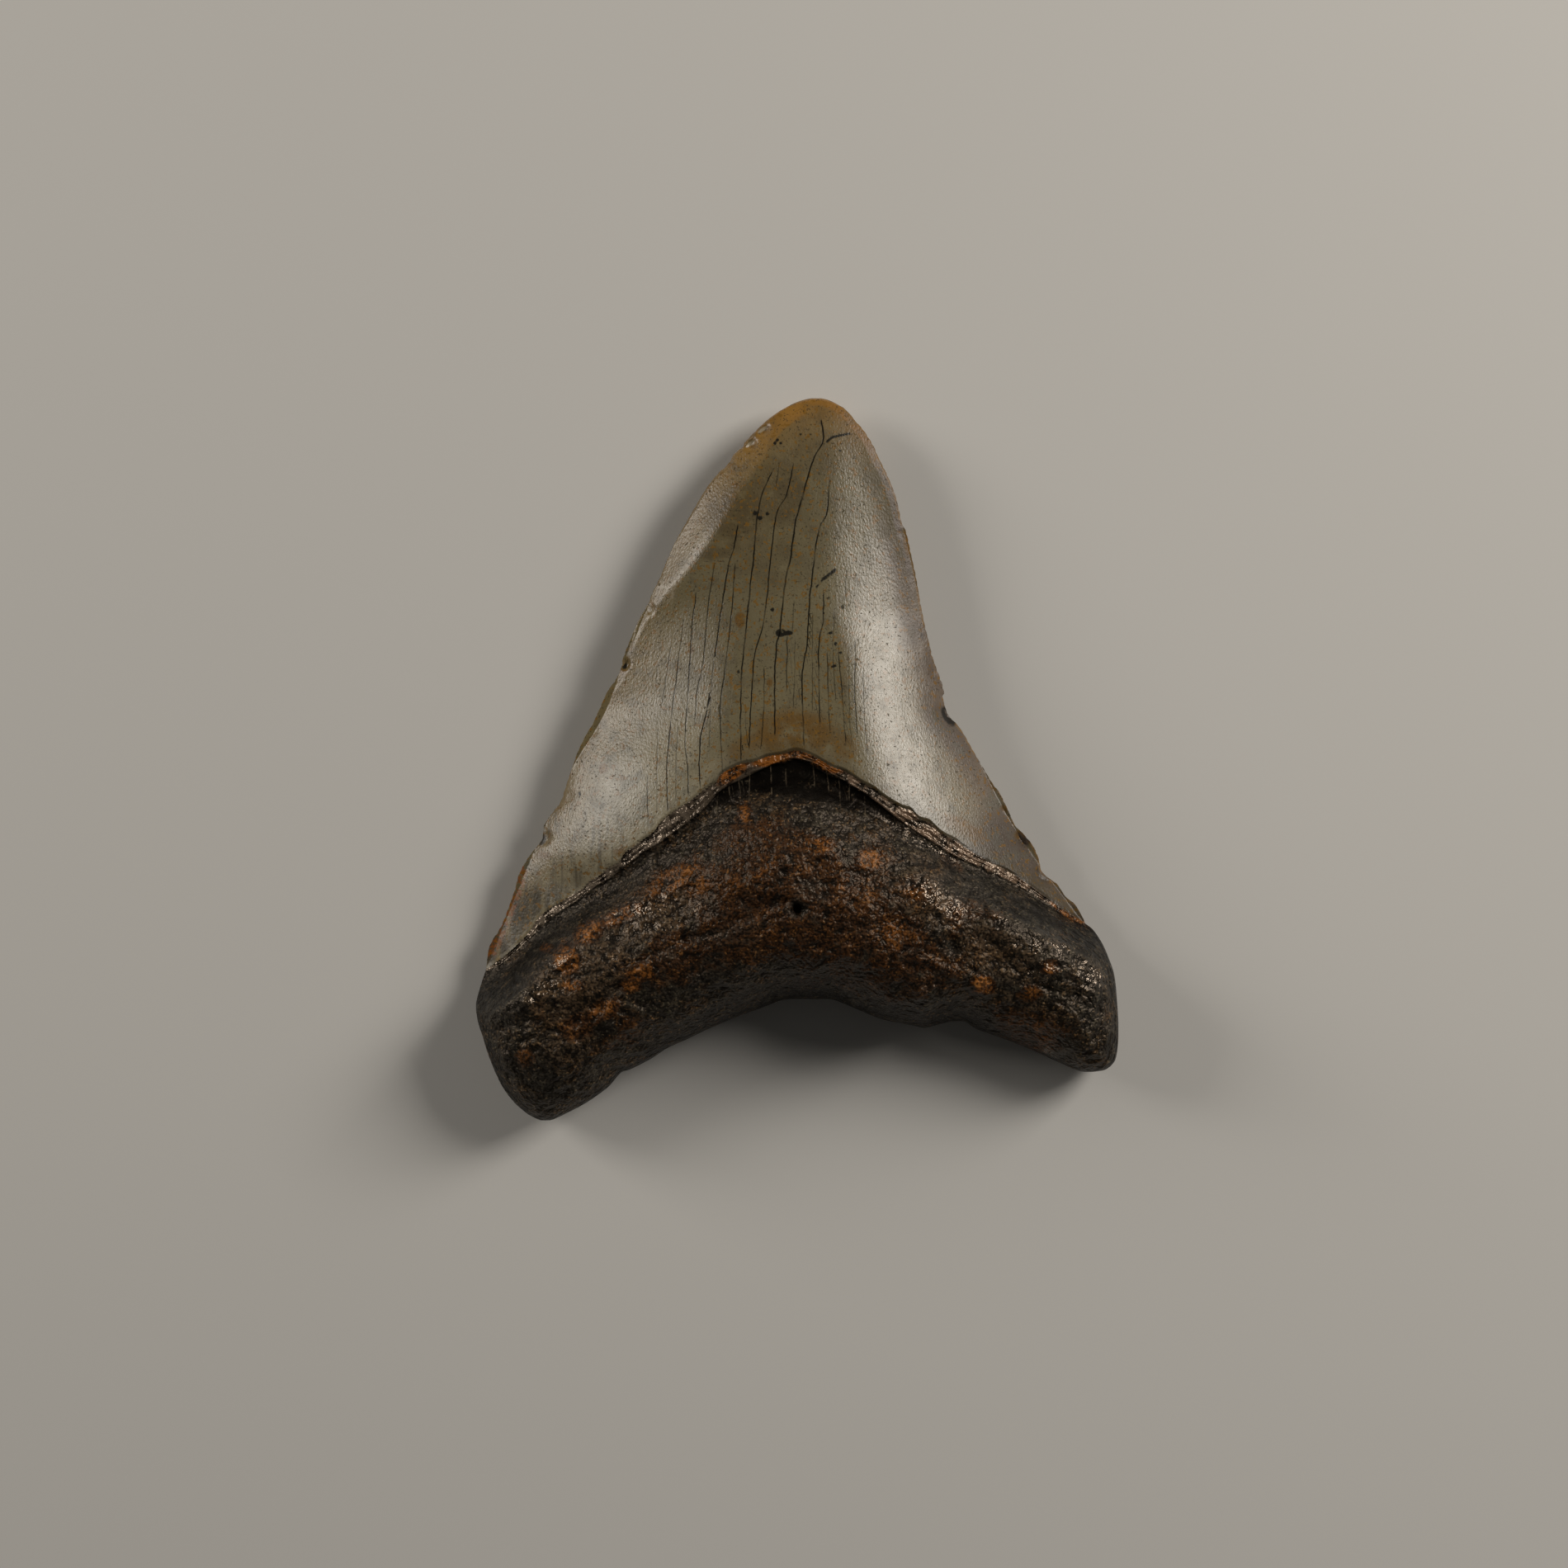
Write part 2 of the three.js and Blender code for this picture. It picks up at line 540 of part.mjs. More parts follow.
function toothGeometry() {
  const innerStepAt = (across) => atStation(ENAMEL_STEP, across);
  const outerStepAt = () => -OUTER_NECK_LIFT;
  const inner = faceRows(ENAMEL_RIM, NECK_RIM, innerStepAt, NECK_BAND_STEP);
  const outer = faceRows(OUTER_ENAMEL_RIM, OUTER_NECK_RIM, outerStepAt, OUTER_NECK_LIFT);
  const positions = [];
  const known = new Map();
  const innerIndex = [];
  const outerIndex = [];
  const lastRow = inner.length - 1;
  const addVertex = (point, height) => {
    const key = [...point, height].map((value) => value.toFixed(3)).join();
    if (!known.has(key)) {
      known.set(key, positions.length / 3);
      positions.push(point[0], point[1], height);
    }
    return known.get(key);
  };
  inner.forEach((row, i) => {
    innerIndex.push([]);
    outerIndex.push([]);
    row.forEach((cell, j) => {
      const onSeam = i === 0 || i === lastRow || j === 0 || j === row.length - 1;
      if (onSeam) {
        const shared = addVertex(cell.point, seamHeight(cell));
        innerIndex[i].push(shared);
        outerIndex[i].push(shared);
      } else {
        innerIndex[i].push(addVertex(cell.point, innerHeight(cell)));
        outerIndex[i].push(addVertex(outer[i][j].point, outerHeight(outer[i][j])));
      }
    });
  });
  const triangles = [];
  for (let i = 0; i < lastRow; i += 1) {
    for (let j = 0; j < innerIndex[i].length - 1; j += 1) {
      addCell(triangles, innerIndex, i, j, false);
      addCell(triangles, outerIndex, i, j, true);
    }
  }
  const geometry = new THREE.BufferGeometry();
  geometry.setAttribute('position', new THREE.Float32BufferAttribute(positions, 3));
  geometry.setIndex(triangles);
  geometry.computeVertexNormals();
  return geometry;
}

// Two triangles for one grid cell; cells whose corners coincide at the margins give only one.
function addCell(triangles, index, i, j, facesDown) {
  const corners = [index[i][j], index[i + 1][j], index[i + 1][j + 1], index[i][j + 1]];
  const halves = [[corners[0], corners[1], corners[2]], [corners[0], corners[2], corners[3]]];
  for (const [a, b, c] of halves) {
    if (a !== b && b !== c && a !== c) {
      triangles.push(...(facesDown ? [a, c, b] : [a, b, c]));
    }
  }
}

function buildTooth() {
  const enamel = new THREE.MeshStandardMaterial({ color: '#9b917f', roughness: 0.38, metalness: 0 });
  const tooth = new THREE.Mesh(toothGeometry(), enamel);
  tooth.name = 'tooth';
  const group = new THREE.Group();
  group.name = 'fossil_shark_tooth';
  group.add(tooth);
  return group;
}

export default buildTooth();
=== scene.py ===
# %% [markdown]
# # A large fossil shark tooth
# The real tooth is one piece: a crown of glassy enamel over a bony root, turned to stone in the
# sea bed. It lies on its flatter outer face, so we look down on the rounded inner face. The packed
# solid gives the size and the place; this lesson gives the surface that the eye sees.

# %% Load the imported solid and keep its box
import json
import math
from collections import Counter
from types import SimpleNamespace
import bpy
import numpy as np
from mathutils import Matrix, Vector, noise

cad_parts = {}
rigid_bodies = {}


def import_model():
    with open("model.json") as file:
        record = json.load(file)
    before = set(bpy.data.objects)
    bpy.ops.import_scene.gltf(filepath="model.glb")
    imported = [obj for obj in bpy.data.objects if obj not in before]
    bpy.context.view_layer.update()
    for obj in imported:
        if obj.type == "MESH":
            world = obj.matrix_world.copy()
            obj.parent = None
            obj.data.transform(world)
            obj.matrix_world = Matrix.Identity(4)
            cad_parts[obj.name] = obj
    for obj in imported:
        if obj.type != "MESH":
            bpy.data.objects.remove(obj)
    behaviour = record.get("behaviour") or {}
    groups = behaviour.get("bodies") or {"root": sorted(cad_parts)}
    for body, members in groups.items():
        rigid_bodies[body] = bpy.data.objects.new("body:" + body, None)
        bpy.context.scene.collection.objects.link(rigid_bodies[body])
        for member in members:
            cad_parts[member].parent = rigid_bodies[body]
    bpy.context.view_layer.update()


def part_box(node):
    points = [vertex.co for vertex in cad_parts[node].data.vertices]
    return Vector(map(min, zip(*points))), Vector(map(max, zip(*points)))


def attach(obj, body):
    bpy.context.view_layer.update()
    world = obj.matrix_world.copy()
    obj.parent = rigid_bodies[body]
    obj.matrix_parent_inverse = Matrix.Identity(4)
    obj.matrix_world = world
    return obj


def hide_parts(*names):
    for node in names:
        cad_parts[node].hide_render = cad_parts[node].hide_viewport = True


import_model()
solid_low, solid_high = (np.array(corner) * 1000 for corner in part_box("tooth"))
print("solid from", solid_low.round(2), "to", solid_high.round(2), "mm")

# %% [markdown]
# ## The measure
# The tooth is seen straight on, so a point of the picture turns into millimetres with one scale:
# 101.6 mm from the tip to the lower lobe. The edges are lists of points, dense at the chips and
# sparse where the edge runs smoothly. Working in millimetres keeps the numbers readable; the
# points become metres when the mesh gets them.

# %% Scale and outline
SLANT_HEIGHT_MM = 101.6
SLANT_HEIGHT_PIXELS = 935
MM_PER_PIXEL = SLANT_HEIGHT_MM / SLANT_HEIGHT_PIXELS
CENTRE_PIXEL = np.array([966.0, 920.0])
PICTURE_PIXELS = 1900

LEFT_EDGE = [
    (945, 498), (930, 509), (913, 525), (902, 537), (899, 543), (890, 550), (882, 563),
    (870, 574), (856, 592), (841, 617), (829, 638), (818, 658), (808, 680), (799, 702),
    (790, 720), (787, 729), (774, 752), (765, 772), (757, 792), (754, 801), (753, 809),
    (746, 824), (736, 838), (725, 862), (717, 879), (710, 890), (700, 911), (693, 931),
    (685, 955), (679, 972), (669, 985), (659, 1000), (658, 1010), (655, 1020), (641, 1037),
    (629, 1058), (623.5, 1078), (615, 1102), (606, 1124), (593, 1146), (589, 1172),
]
RIGHT_EDGE = [
    (1022, 494), (1031, 503), (1036, 510), (1046, 521), (1058, 540), (1064, 554), (1075, 576),
    (1085, 601), (1090, 622), (1092.5, 634), (1098, 645), (1103.5, 670), (1110, 700), (1115, 730),
    (1121, 760), (1126, 780), (1129.5, 795), (1135, 811), (1141, 827), (1144, 840), (1142.5, 845),
    (1145.5, 858), (1150, 868), (1158.5, 876.5), (1167, 888), (1175, 902), (1184, 918),
    (1196, 938), (1204, 951), (1211, 960), (1221, 980), (1230, 1000), (1240, 1010), (1252, 1025),
    (1259, 1041), (1262, 1055), (1271, 1064), (1281, 1071), (1292, 1087), (1303, 1096),
    (1314, 1115),
]
TIP = [(945, 498), (965, 487.5), (985, 482.5), (1003, 484.5), (1022, 494)]
LEFT_LOBE_SIDE = [
    (588, 1177), (583, 1192), (578, 1210), (577, 1222), (580, 1240), (585, 1255), (591, 1275),
    (600, 1298), (610, 1318), (624, 1336), (640, 1350),
]
RIGHT_LOBE_SIDE = [
    (1315, 1119), (1325, 1127), (1336, 1144), (1344, 1163), (1350, 1182), (1353, 1210),
    (1355, 1245), (1354, 1268), (1351, 1284), (1345, 1292),
]
ROOT_FOOT = [
    (640, 1350), (655, 1357), (668, 1357), (690, 1347), (712, 1335), (737, 1317), (752, 1300),
    (765, 1295), (790, 1282), (808, 1270), (830, 1260), (855, 1248), (880, 1237), (900, 1229),
    (930, 1218), (945, 1212), (960, 1210), (990, 1210), (1010, 1211), (1040, 1223), (1070, 1235),
    (1105, 1242), (1120, 1245), (1140, 1240), (1155, 1237), (1170, 1238), (1182, 1246),
    (1215, 1258), (1248, 1271), (1285, 1288), (1310, 1298), (1335, 1297), (1345, 1292),
]


def to_mm(pixels):
    """Places in the picture, whose rows count downwards, as places on the tooth."""
    pixels = np.asarray(pixels, dtype=float)
    return (pixels - CENTRE_PIXEL) * MM_PER_PIXEL * np.array([1.0, -1.0])


def smooth_line(pixels, steps=8):
    """A curve that passes through every given point, as a dense list of points in millimetres."""
    points = to_mm(pixels)
    ends = np.vstack([2 * points[0] - points[1], points, 2 * points[-1] - points[-2]])
    t = np.linspace(0, 1, steps, endpoint=False)[:, None]
    parts = []
    for a, b, c, d in zip(ends, ends[1:], ends[2:], ends[3:]):
        bend, twist = 2 * a - 5 * b + 4 * c - d, 3 * b - a - 3 * c + d
        parts.append(b + 0.5 * t * (c - a + t * (bend + t * twist)))
    return np.vstack([*parts, points[-1:]])


def at_share(line, shares):
    """Points of a line at shares (0 to 1) of its length."""
    lengths = np.concatenate([[0], np.cumsum(np.linalg.norm(np.diff(line, axis=0), axis=1))])
    wanted = np.asarray(shares) * lengths[-1]
    return np.stack([np.interp(wanted, lengths, line[:, k]) for k in (0, 1)], axis=-1)


left_edge = smooth_line(LEFT_EDGE)
right_edge = smooth_line(RIGHT_EDGE)
for side, line in (("left", left_edge), ("right", right_edge)):
    length = np.linalg.norm(np.diff(line, axis=0), axis=1).sum()
    print(f"{side} cutting edge: {length:.1f} mm")

# %% [markdown]
# ## The lines across the tooth
# On the inner face the enamel ends in a peaked line, with a narrow rusty band of old neck tissue
# under it. On the outer face the enamel reaches lower and ends in a flat arch. The enamel stands
# about 0.4 mm proud of the root, so each of these lines becomes a little step in the mesh.

# %% Rims of the enamel and of the neck band
ENAMEL_RIM = [
    (589, 1172), (610, 1157), (625, 1144), (642, 1126), (655, 1107), (680, 1090), (695, 1081),
    (708, 1073), (713, 1067), (726, 1059), (738, 1049), (751, 1042), (758, 1031), (774, 1019),
    (793, 1005), (800, 995), (810, 986), (824, 976), (837, 968), (856, 953), (868, 946),
    (875, 935), (897, 924), (916, 920), (931, 914), (947, 912), (964, 907), (983, 913),
    (996, 920), (1010, 928), (1023, 932), (1046, 947), (1058, 953), (1072, 964), (1092, 976),
    (1103, 979), (1113, 990), (1126, 994), (1140, 1007), (1159, 1017), (1170, 1025), (1193, 1039),
    (1212, 1048), (1231, 1059), (1250, 1072), (1273, 1089), (1293, 1103), (1314, 1115),
]
NECK_RIM = [
    (588, 1177), (613, 1163), (642, 1136), (660, 1119), (678, 1104), (700, 1090), (722, 1073),
    (738, 1064), (755, 1051), (784, 1029), (800, 1020), (812, 1011), (841, 990), (858, 974),
    (876, 955), (902, 942), (916, 935), (935, 926), (958, 918), (983, 923), (996, 929),
    (1011, 939), (1036, 953), (1055, 966), (1078, 984), (1103, 1002), (1128, 1018), (1153, 1034),
    (1190, 1051), (1228, 1069), (1272, 1095), (1315, 1119),
]
OUTER_ENAMEL_RIM = [
    (589, 1172), (650, 1128), (700, 1096), (740, 1076), (790, 1052), (850, 1035), (905, 1022),
    (965, 1018), (1020, 1023), (1080, 1034), (1140, 1046), (1190, 1066), (1260, 1093),
    (1314, 1115),
]
OUTER_NECK_RIM = [
    (588, 1177), (652, 1134), (702, 1102), (742, 1082), (792, 1058), (852, 1041), (906, 1028),
    (965, 1024), (1020, 1029), (1080, 1040), (1140, 1052), (1188, 1072), (1258, 1099),
    (1315, 1119),
]

OUTLINE = np.vstack([
    left_edge[::-2], smooth_line(TIP, 4)[1:], right_edge[2::2], smooth_line(RIGHT_LOBE_SIDE, 4),
    smooth_line(ROOT_FOOT, 4)[::-1][1:], smooth_line(LEFT_LOBE_SIDE, 4)[::-1][1:], left_edge[-1:],
])


def distance_to_line(line, points):
    """Shortest distance from each point to a line of many short stretches, all in millimetres."""
    nearest = np.full(len(points), np.inf)
    for start, end in zip(line, line[1:]):
        run = end - start
        length_squared = max(run @ run, 1e-12)
        share = np.clip((points - start) @ run / length_squared, 0, 1)
        gap = points - start - share[:, None] * run
        nearest = np.minimum(nearest, np.einsum("ij,ij->i", gap, gap))
    return np.sqrt(nearest)


print("outline:", len(OUTLINE), "points, size", np.ptp(OUTLINE, axis=0).round(2), "mm")

# %% [markdown]
# ## Heights
# A tooth is a soft form with few true edges, so its height is written down at a few stations and
# eased between them, as a carver takes sections from a block. The crown is a lens with a flat bevel
# on its upper left; the root is a bent roll whose ridge rises to a boss in the middle. A crown
# station is a y in millimetres with its value; a root station is a share of the way across.

# %% Stations of the crown and of the root
WHOLE_LEFT_EDGE = [
    (47.5, 0), (44, -5.5), (36, -12), (24, -18), (11, -23.4), (0, -29), (-12, -34.6),
    (-28, -41.2),
]
WHOLE_RIGHT_EDGE = [
    (47.5, 4.5), (44, 8), (36, 12), (24, 15.7), (11, 18.6), (0, 23.8), (-10, 29.2), (-22, 38),
]
CREST_LINE = [(47.5, 2.8), (20, 1.2), (0, 0), (-30, 0)]
RIGHT_CREASE = [
    (47.5, 3.2), (42, 4.2), (36, 5), (28, 5), (20, 5.2), (12, 5.8), (4, 6.6), (-5, 6), (-20, 2),
]
CREST_HEIGHT = [
    (48, 4.5), (44, 5.8), (38, 7.2), (28, 8.7), (15, 10.5), (2, 13), (-10, 14.9), (-30, 15.5),
]
EDGE_HEIGHT = [
    (48, 4.5), (43, 5.2), (37, 5.5), (28, 5.58), (15, 5.6), (8, 5.35), (-12, 4.1), (-22, 3.5),
    (-28, 3.5),
]
THICK_EDGE_FROM, THICK_EDGE_REACH = -22, 10
EDGE_SWELL = 0.1
OUTER_EDGE_SWELL = 0.3
BELLY_FULLNESS = 2.6
BELLY_HEIGHT = [(48, 3.1), (40, 1.9), (30, 0.8), (20, 0.1), (12, -0.5), (-30, -0.5)]
LEFT_BEVEL_SLOPE = [
    (46, 0.42), (40, 0.48), (36.9, 0.57), (32.6, 0.68), (28.3, 0.8), (23.9, 0.88), (19.6, 0.9),
    (15.2, 1.05), (10.9, 1.3), (-30, 1.8),
]
LEFT_FULLNESS = [(46, 6), (10, 3), (2, 2.3), (-4, 2.4), (-12, 2.2), (-17, 1.6), (-30, 1.6)]
RIGHT_FULLNESS = [(46, 1.5), (30, 1.5), (4, 1.55), (-8, 1.9), (-30, 2.1)]
LEFT_FLANK_SLOPE = [
    (46, 0), (33, 0.04), (28.3, 0.12), (23.9, 0.24), (19.6, 0.34), (10.9, 0.42), (2, 0.5),
]
LEFT_SHOULDER = [(46, -1), (33, -6), (19.6, -7), (10.9, -8.3), (2, -9)]
RIGHT_FLANK_SLOPE = [(46, 0.24), (36, 0.3), (28, 0.36), (20, 0.43), (12, 0.52)]
RIGHT_SHOULDER = [(47.5, 3), (42, 3.6), (36, 3.8), (28, 4.1), (20, 5.2), (12, 6.8)]
SHOULDER_BEND = 1.5
LEFT_DOME_BELOW, RIGHT_DOME_BELOW, DOME_REACH = 9, 20, 10
NARROWEST_FLANK = 0.5
UPPER_EDGE_SLOPE = 1.6
LOWER_EDGE_SLOPE = 0.6
BEVEL_CREASE_SHARPNESS = 9
BEVEL_START = 0.15
EDGE_SHARPNESS = 4

RIDGE_HEIGHT = [
    (0, 12.6), (0.15, 14.6), (0.32, 17.3), (0.5, 20.3), (0.68, 17.8), (0.85, 15), (1, 12.8),
]
RIDGE_PLACE = [(0, 0.36), (0.2, 0.42), (0.5, 0.56), (0.8, 0.42), (1, 0.38)]
RISE_FROM_NECK = [(0, 3.2), (0.2, 4.2), (0.5, 6.2), (0.8, 4.4), (1, 3.2)]
FALL_TO_FOOT = [(0, 3.4), (0.2, 4.6), (0.5, 7.2), (0.8, 5), (1, 3.2)]
ROOT_MIDDLE_HEIGHT = [(0, 5.6), (0.2, 5.8), (0.5, 7), (0.8, 6), (1, 5.6)]
OUTER_FACE_LIFT = [
    (0, -0.6), (0.22, -0.6), (0.38, 0.9), (0.5, 1.8), (0.62, 0.9), (0.78, -0.6), (1, -0.6),
]
OUTER_NECK_LIFT = 0.35
ROOT_ROUNDING_ABOVE = 7.0
ROOT_ROUNDING_BELOW = 5.5
ROOT_ROUNDING_POWER = 2.1
NECK_BAND_SHARE = 0.02
NECK_BLEND = 0.34
ENAMEL_STEP = [(0, 0.36), (0.3, 0.3), (0.5, 0.14), (0.7, 0.3), (1, 0.36)]
ENAMEL_EDGE_WIDTH = 1.3
NECK_BAND_STEP = 0.28
LEDGE_WIDTH = 0.35
BOURLETTE_DIP = [(0, 0.15), (0.3, 0.35), (0.5, 0.6), (0.7, 0.35), (1, 0.15)]
BOURLETTE_PLACE = 0.085
BOURLETTE_SPREAD = 0.05


def at_station(stations, position):
    """Reads values between stations, easing from one to the next with matching slopes."""
    places, values = np.array(sorted(stations), dtype=float).T
    before = np.maximum(np.arange(len(places)) - 1, 0)
    after = np.minimum(np.arange(len(places)) + 1, len(places) - 1)
    slopes = (values[after] - values[before]) / (places[after] - places[before])
    position = np.clip(position, places[0], places[-1])
    i = np.clip(np.searchsorted(places, position) - 1, 0, len(places) - 2)
    run = places[i + 1] - places[i]
    t = (position - places[i]) / run
    return (
        (2 * t**3 - 3 * t**2 + 1) * values[i] + (t**3 - 2 * t**2 + t) * slopes[i] * run
        + (3 * t**2 - 2 * t**3) * values[i + 1] + (t**3 - t**2) * slopes[i + 1] * run
    )


def ease(value):
    t = np.clip(value, 0, 1)
    return t * t * (3 - 2 * t)


def blend(a, b, share):
    return a + (b - a) * share


def soft_minimum(a, b, sharpness):
    """The smaller of two heights with a rounded meeting line; it stays 0 where either is 0."""
    a = np.maximum(a, 1e-9)
    b = np.maximum(b, 1e-9)
    return a * b / (a**sharpness + b**sharpness) ** (1 / sharpness)


print("crest: %.1f mm high at the tip, %.1f mm at the middle" % (
    at_station(CREST_HEIGHT, 47), at_station(CREST_HEIGHT, 0),
))

# %% [markdown]
# The crown's two faces meet in the cutting edge. Both are measured as a height over the edge, so
# they are 0 there by themselves and the two halves of the mesh fit without a gap.

# %% The crown's faces


def share_of_half_width(x, y):
    """0 on the flat middle, 1 at the whole edge; the flat middle is wider on the right."""
    on_left = x < at_station(CREST_LINE, y)
    start = np.where(on_left, at_station(CREST_LINE, y), at_station(RIGHT_CREASE, y))
    edge = np.where(on_left, at_station(WHOLE_LEFT_EDGE, y), at_station(WHOLE_RIGHT_EDGE, y))
    outwards = np.where(on_left, start - x, x - start)
    return np.clip(outwards / np.maximum(NARROWEST_FLANK, np.abs(edge - start)), 0, 1)


def fall_past_shoulder(beyond, slope):
    """Nothing before the shoulder, a straight flank beyond it, with a soft bend between the two."""
    return slope * SHOULDER_BEND * np.logaddexp(0, beyond / SHOULDER_BEND)


def crest_fall(x, y, rise):
    """How far the inner face drops from the crest: straight flanks above, a dome near the root."""
    on_left = x < at_station(CREST_LINE, y)
    fullness = np.where(on_left, at_station(LEFT_FULLNESS, y), at_station(RIGHT_FULLNESS, y))
    domed = rise * share_of_half_width(x, y) ** fullness
    fall = 0
    for beyond, slope, dome_below, dome_here in (
        (at_station(LEFT_SHOULDER, y) - x, LEFT_FLANK_SLOPE, LEFT_DOME_BELOW, on_left),
        (x - at_station(RIGHT_SHOULDER, y), RIGHT_FLANK_SLOPE, RIGHT_DOME_BELOW, ~on_left),
    ):
        flank = fall_past_shoulder(beyond, at_station(slope, y))
        fall = fall + blend(flank, domed * dome_here, ease((dome_below - y) / DOME_REACH))
    return fall


def left_bevel_height(x, y):
    """The bevel follows the edge as it was before it chipped, so chips don't run up it as ribs."""
    edge = at_station(WHOLE_LEFT_EDGE, y)
    lean = (at_station(WHOLE_LEFT_EDGE, y + 1) - at_station(WHOLE_LEFT_EDGE, y - 1)) / 2
    reach = np.maximum(0, x - edge) / np.sqrt(1 + lean * lean)
    return at_station(LEFT_BEVEL_SLOPE, y) * (reach + BEVEL_START)


def crown_inner_height(x, y, inset, step):
    """The enamel's own thickness is part of the crown; it thins to the edge only at the corners."""
    edge = at_station(EDGE_HEIGHT, y)
    on_left = x < at_station(CREST_LINE, y)
    thick_edge = ease((y - THICK_EDGE_FROM) / THICK_EDGE_REACH)
    thinned = blend(np.clip(inset / ENAMEL_EDGE_WIDTH, 0, 1), 1, thick_edge)
    rise = at_station(CREST_HEIGHT, y) + step * thinned - edge
    body = np.maximum(0, rise - crest_fall(x, y, rise)) + EDGE_SWELL * np.clip(inset, 0, 1)
    body = soft_minimum(body, UPPER_EDGE_SLOPE * inset * (1 + inset), EDGE_SHARPNESS)
    bevelled = soft_minimum(body, left_bevel_height(x, y), BEVEL_CREASE_SHARPNESS)
    return edge + np.where(on_left, bevelled, body)


def crown_outer_height(x, y, inset):
    edge = at_station(EDGE_HEIGHT, y)
    depth = (edge - at_station(BELLY_HEIGHT, y)) * (1 - share_of_half_width(x, y) ** BELLY_FULLNESS)
    swell = OUTER_EDGE_SWELL * np.clip(inset, 0, 1)
    return edge - soft_minimum(depth + swell, LOWER_EDGE_SLOPE * inset, EDGE_SHARPNESS)


FAR_INSIDE = 20.0  # millimetres from the outline
print("crown's middle: %.1f mm high" % crown_inner_height(0.0, 0.0, FAR_INSIDE, 0.0))

# %% [markdown]
# The root is rounded where it turns over into its sides. Under the neck it has a shallow dip, the
# bourlette, a band of thin dentine that lies below the level of both the enamel and the bone.

# %% The root's faces
OUTER_NECK_REACH = 0.55


def rounding(inset, reach):
    q = np.clip(inset / reach, 0, 1)
    return (1 - (1 - q) ** ROOT_ROUNDING_POWER) ** (1 / ROOT_ROUNDING_POWER)


def root_inner_height(across, down, inset):
    ridge = at_station(RIDGE_PLACE, across)
    above = np.maximum(0, (ridge - down) / ridge)
    below = np.maximum(0, (down - ridge) / (1 - ridge))
    body = (
        at_station(RIDGE_HEIGHT, across)
        - at_station(RISE_FROM_NECK, across) * above**2
        - at_station(FALL_TO_FOOT, across) * below**2
    )
    middle = at_station(ROOT_MIDDLE_HEIGHT, across)
    return middle + (body - middle) * rounding(inset, ROOT_ROUNDING_ABOVE)


def root_outer_height(across, down, inset):
    middle = at_station(ROOT_MIDDLE_HEIGHT, across)
    lift = at_station(OUTER_FACE_LIFT, across)
    body = blend(OUTER_NECK_LIFT, lift, ease(down / OUTER_NECK_REACH))
    return middle - (middle - body) * rounding(inset, ROOT_ROUNDING_BELOW)


def bourlette_dip(across, down):
    offset = (down - BOURLETTE_PLACE) / BOURLETTE_SPREAD
    return -at_station(BOURLETTE_DIP, across) * np.exp(-offset * offset)


def seam_height(y, across, down):
    root = at_station(ROOT_MIDDLE_HEIGHT, across)
    return blend(at_station(EDGE_HEIGHT, y), root, ease(down / NECK_BLEND))


print("root's boss: %.1f mm high" % root_inner_height(0.5, 0.56, FAR_INSIDE))

# %% [markdown]
# ## Lumps, pits and ridges of the root
# Old bone is never even: blood vessels left holes, muscle left low ridges, and the sea bed wore
# some of it away. The large ones are placed one by one where the real tooth has them.

# %% Single features of the root's inner face
LUMPS_AND_PITS = [  # place in pixels, radius and height in millimetres
    ((965.5, 1100), 0.62, -2.6), ((952, 1092), 0.35, -0.7), ((655, 1216), 0.8, -0.6),
    ((1151, 1144), 1.4, -0.8), ((1246, 1174), 0.6, -0.7), ((690, 1152), 1.7, 0.6),
    ((660, 1160), 1.9, 0.55), ((700, 1200), 1.6, 0.5), ((1135, 1098), 3.2, 0.5),
    ((1213, 1132), 2.6, 0.5), ((1270, 1160), 3.0, 0.6), ((1120, 1215), 4.5, 0.9),
    ((1188, 1191), 1.3, 0.45), ((1199, 1063), 0.35, -0.5), ((1207, 1072), 0.4, -0.5),
    ((689, 1139), 0.5, -0.5), ((832, 1139), 0.5, -0.5),
]
CREASES_AND_RIDGES = [
    ([(947, 1090), (926, 1096), (882, 1124), (833, 1139)], 1.0, -0.4),
    ([(752, 1193), (738, 1205), (725, 1221)], 0.6, -0.55),
    ([(1128, 1118), (1140, 1136), (1144, 1152)], 0.6, 0.35),
    ([(1103, 1153), (1132, 1168), (1161, 1183), (1190, 1204)], 0.7, 0.4),
    ([(1205, 1150), (1250, 1186), (1300, 1208)], 1.2, -0.35),
    ([(748, 1126), (790, 1104), (845, 1080)], 2.4, -1.1),
    ([(605, 1222), (640, 1216), (680, 1206)], 1.2, 0.4),
]
LUMP_HEIGHT = 0.3
LUMP_LENGTH = 9.5


def slow_lumps(x, y):
    """Slow waves in two directions, one of them bent by the other."""
    a = 2 * math.pi * (x + 0.4 * y) / LUMP_LENGTH
    b = 2 * math.pi * (y - 0.3 * x) / (LUMP_LENGTH * 0.8)
    return LUMP_HEIGHT * (0.5 * np.sin(a + 1.3) + 0.5 * np.sin(b + np.sin(a * 0.6)))


def feature_height(points):
    height = np.zeros(len(points))
    for place, radius, rise in LUMPS_AND_PITS:
        height += rise * np.exp(-((np.linalg.norm(points - to_mm(place), axis=1) / radius) ** 2))
    for line, radius, rise in CREASES_AND_RIDGES:
        height += rise * np.exp(-((distance_to_line(to_mm(line), points) / radius) ** 2))
    return height


print("lumps and pits:", len(LUMPS_AND_PITS), "creases and ridges:", len(CREASES_AND_RIDGES))

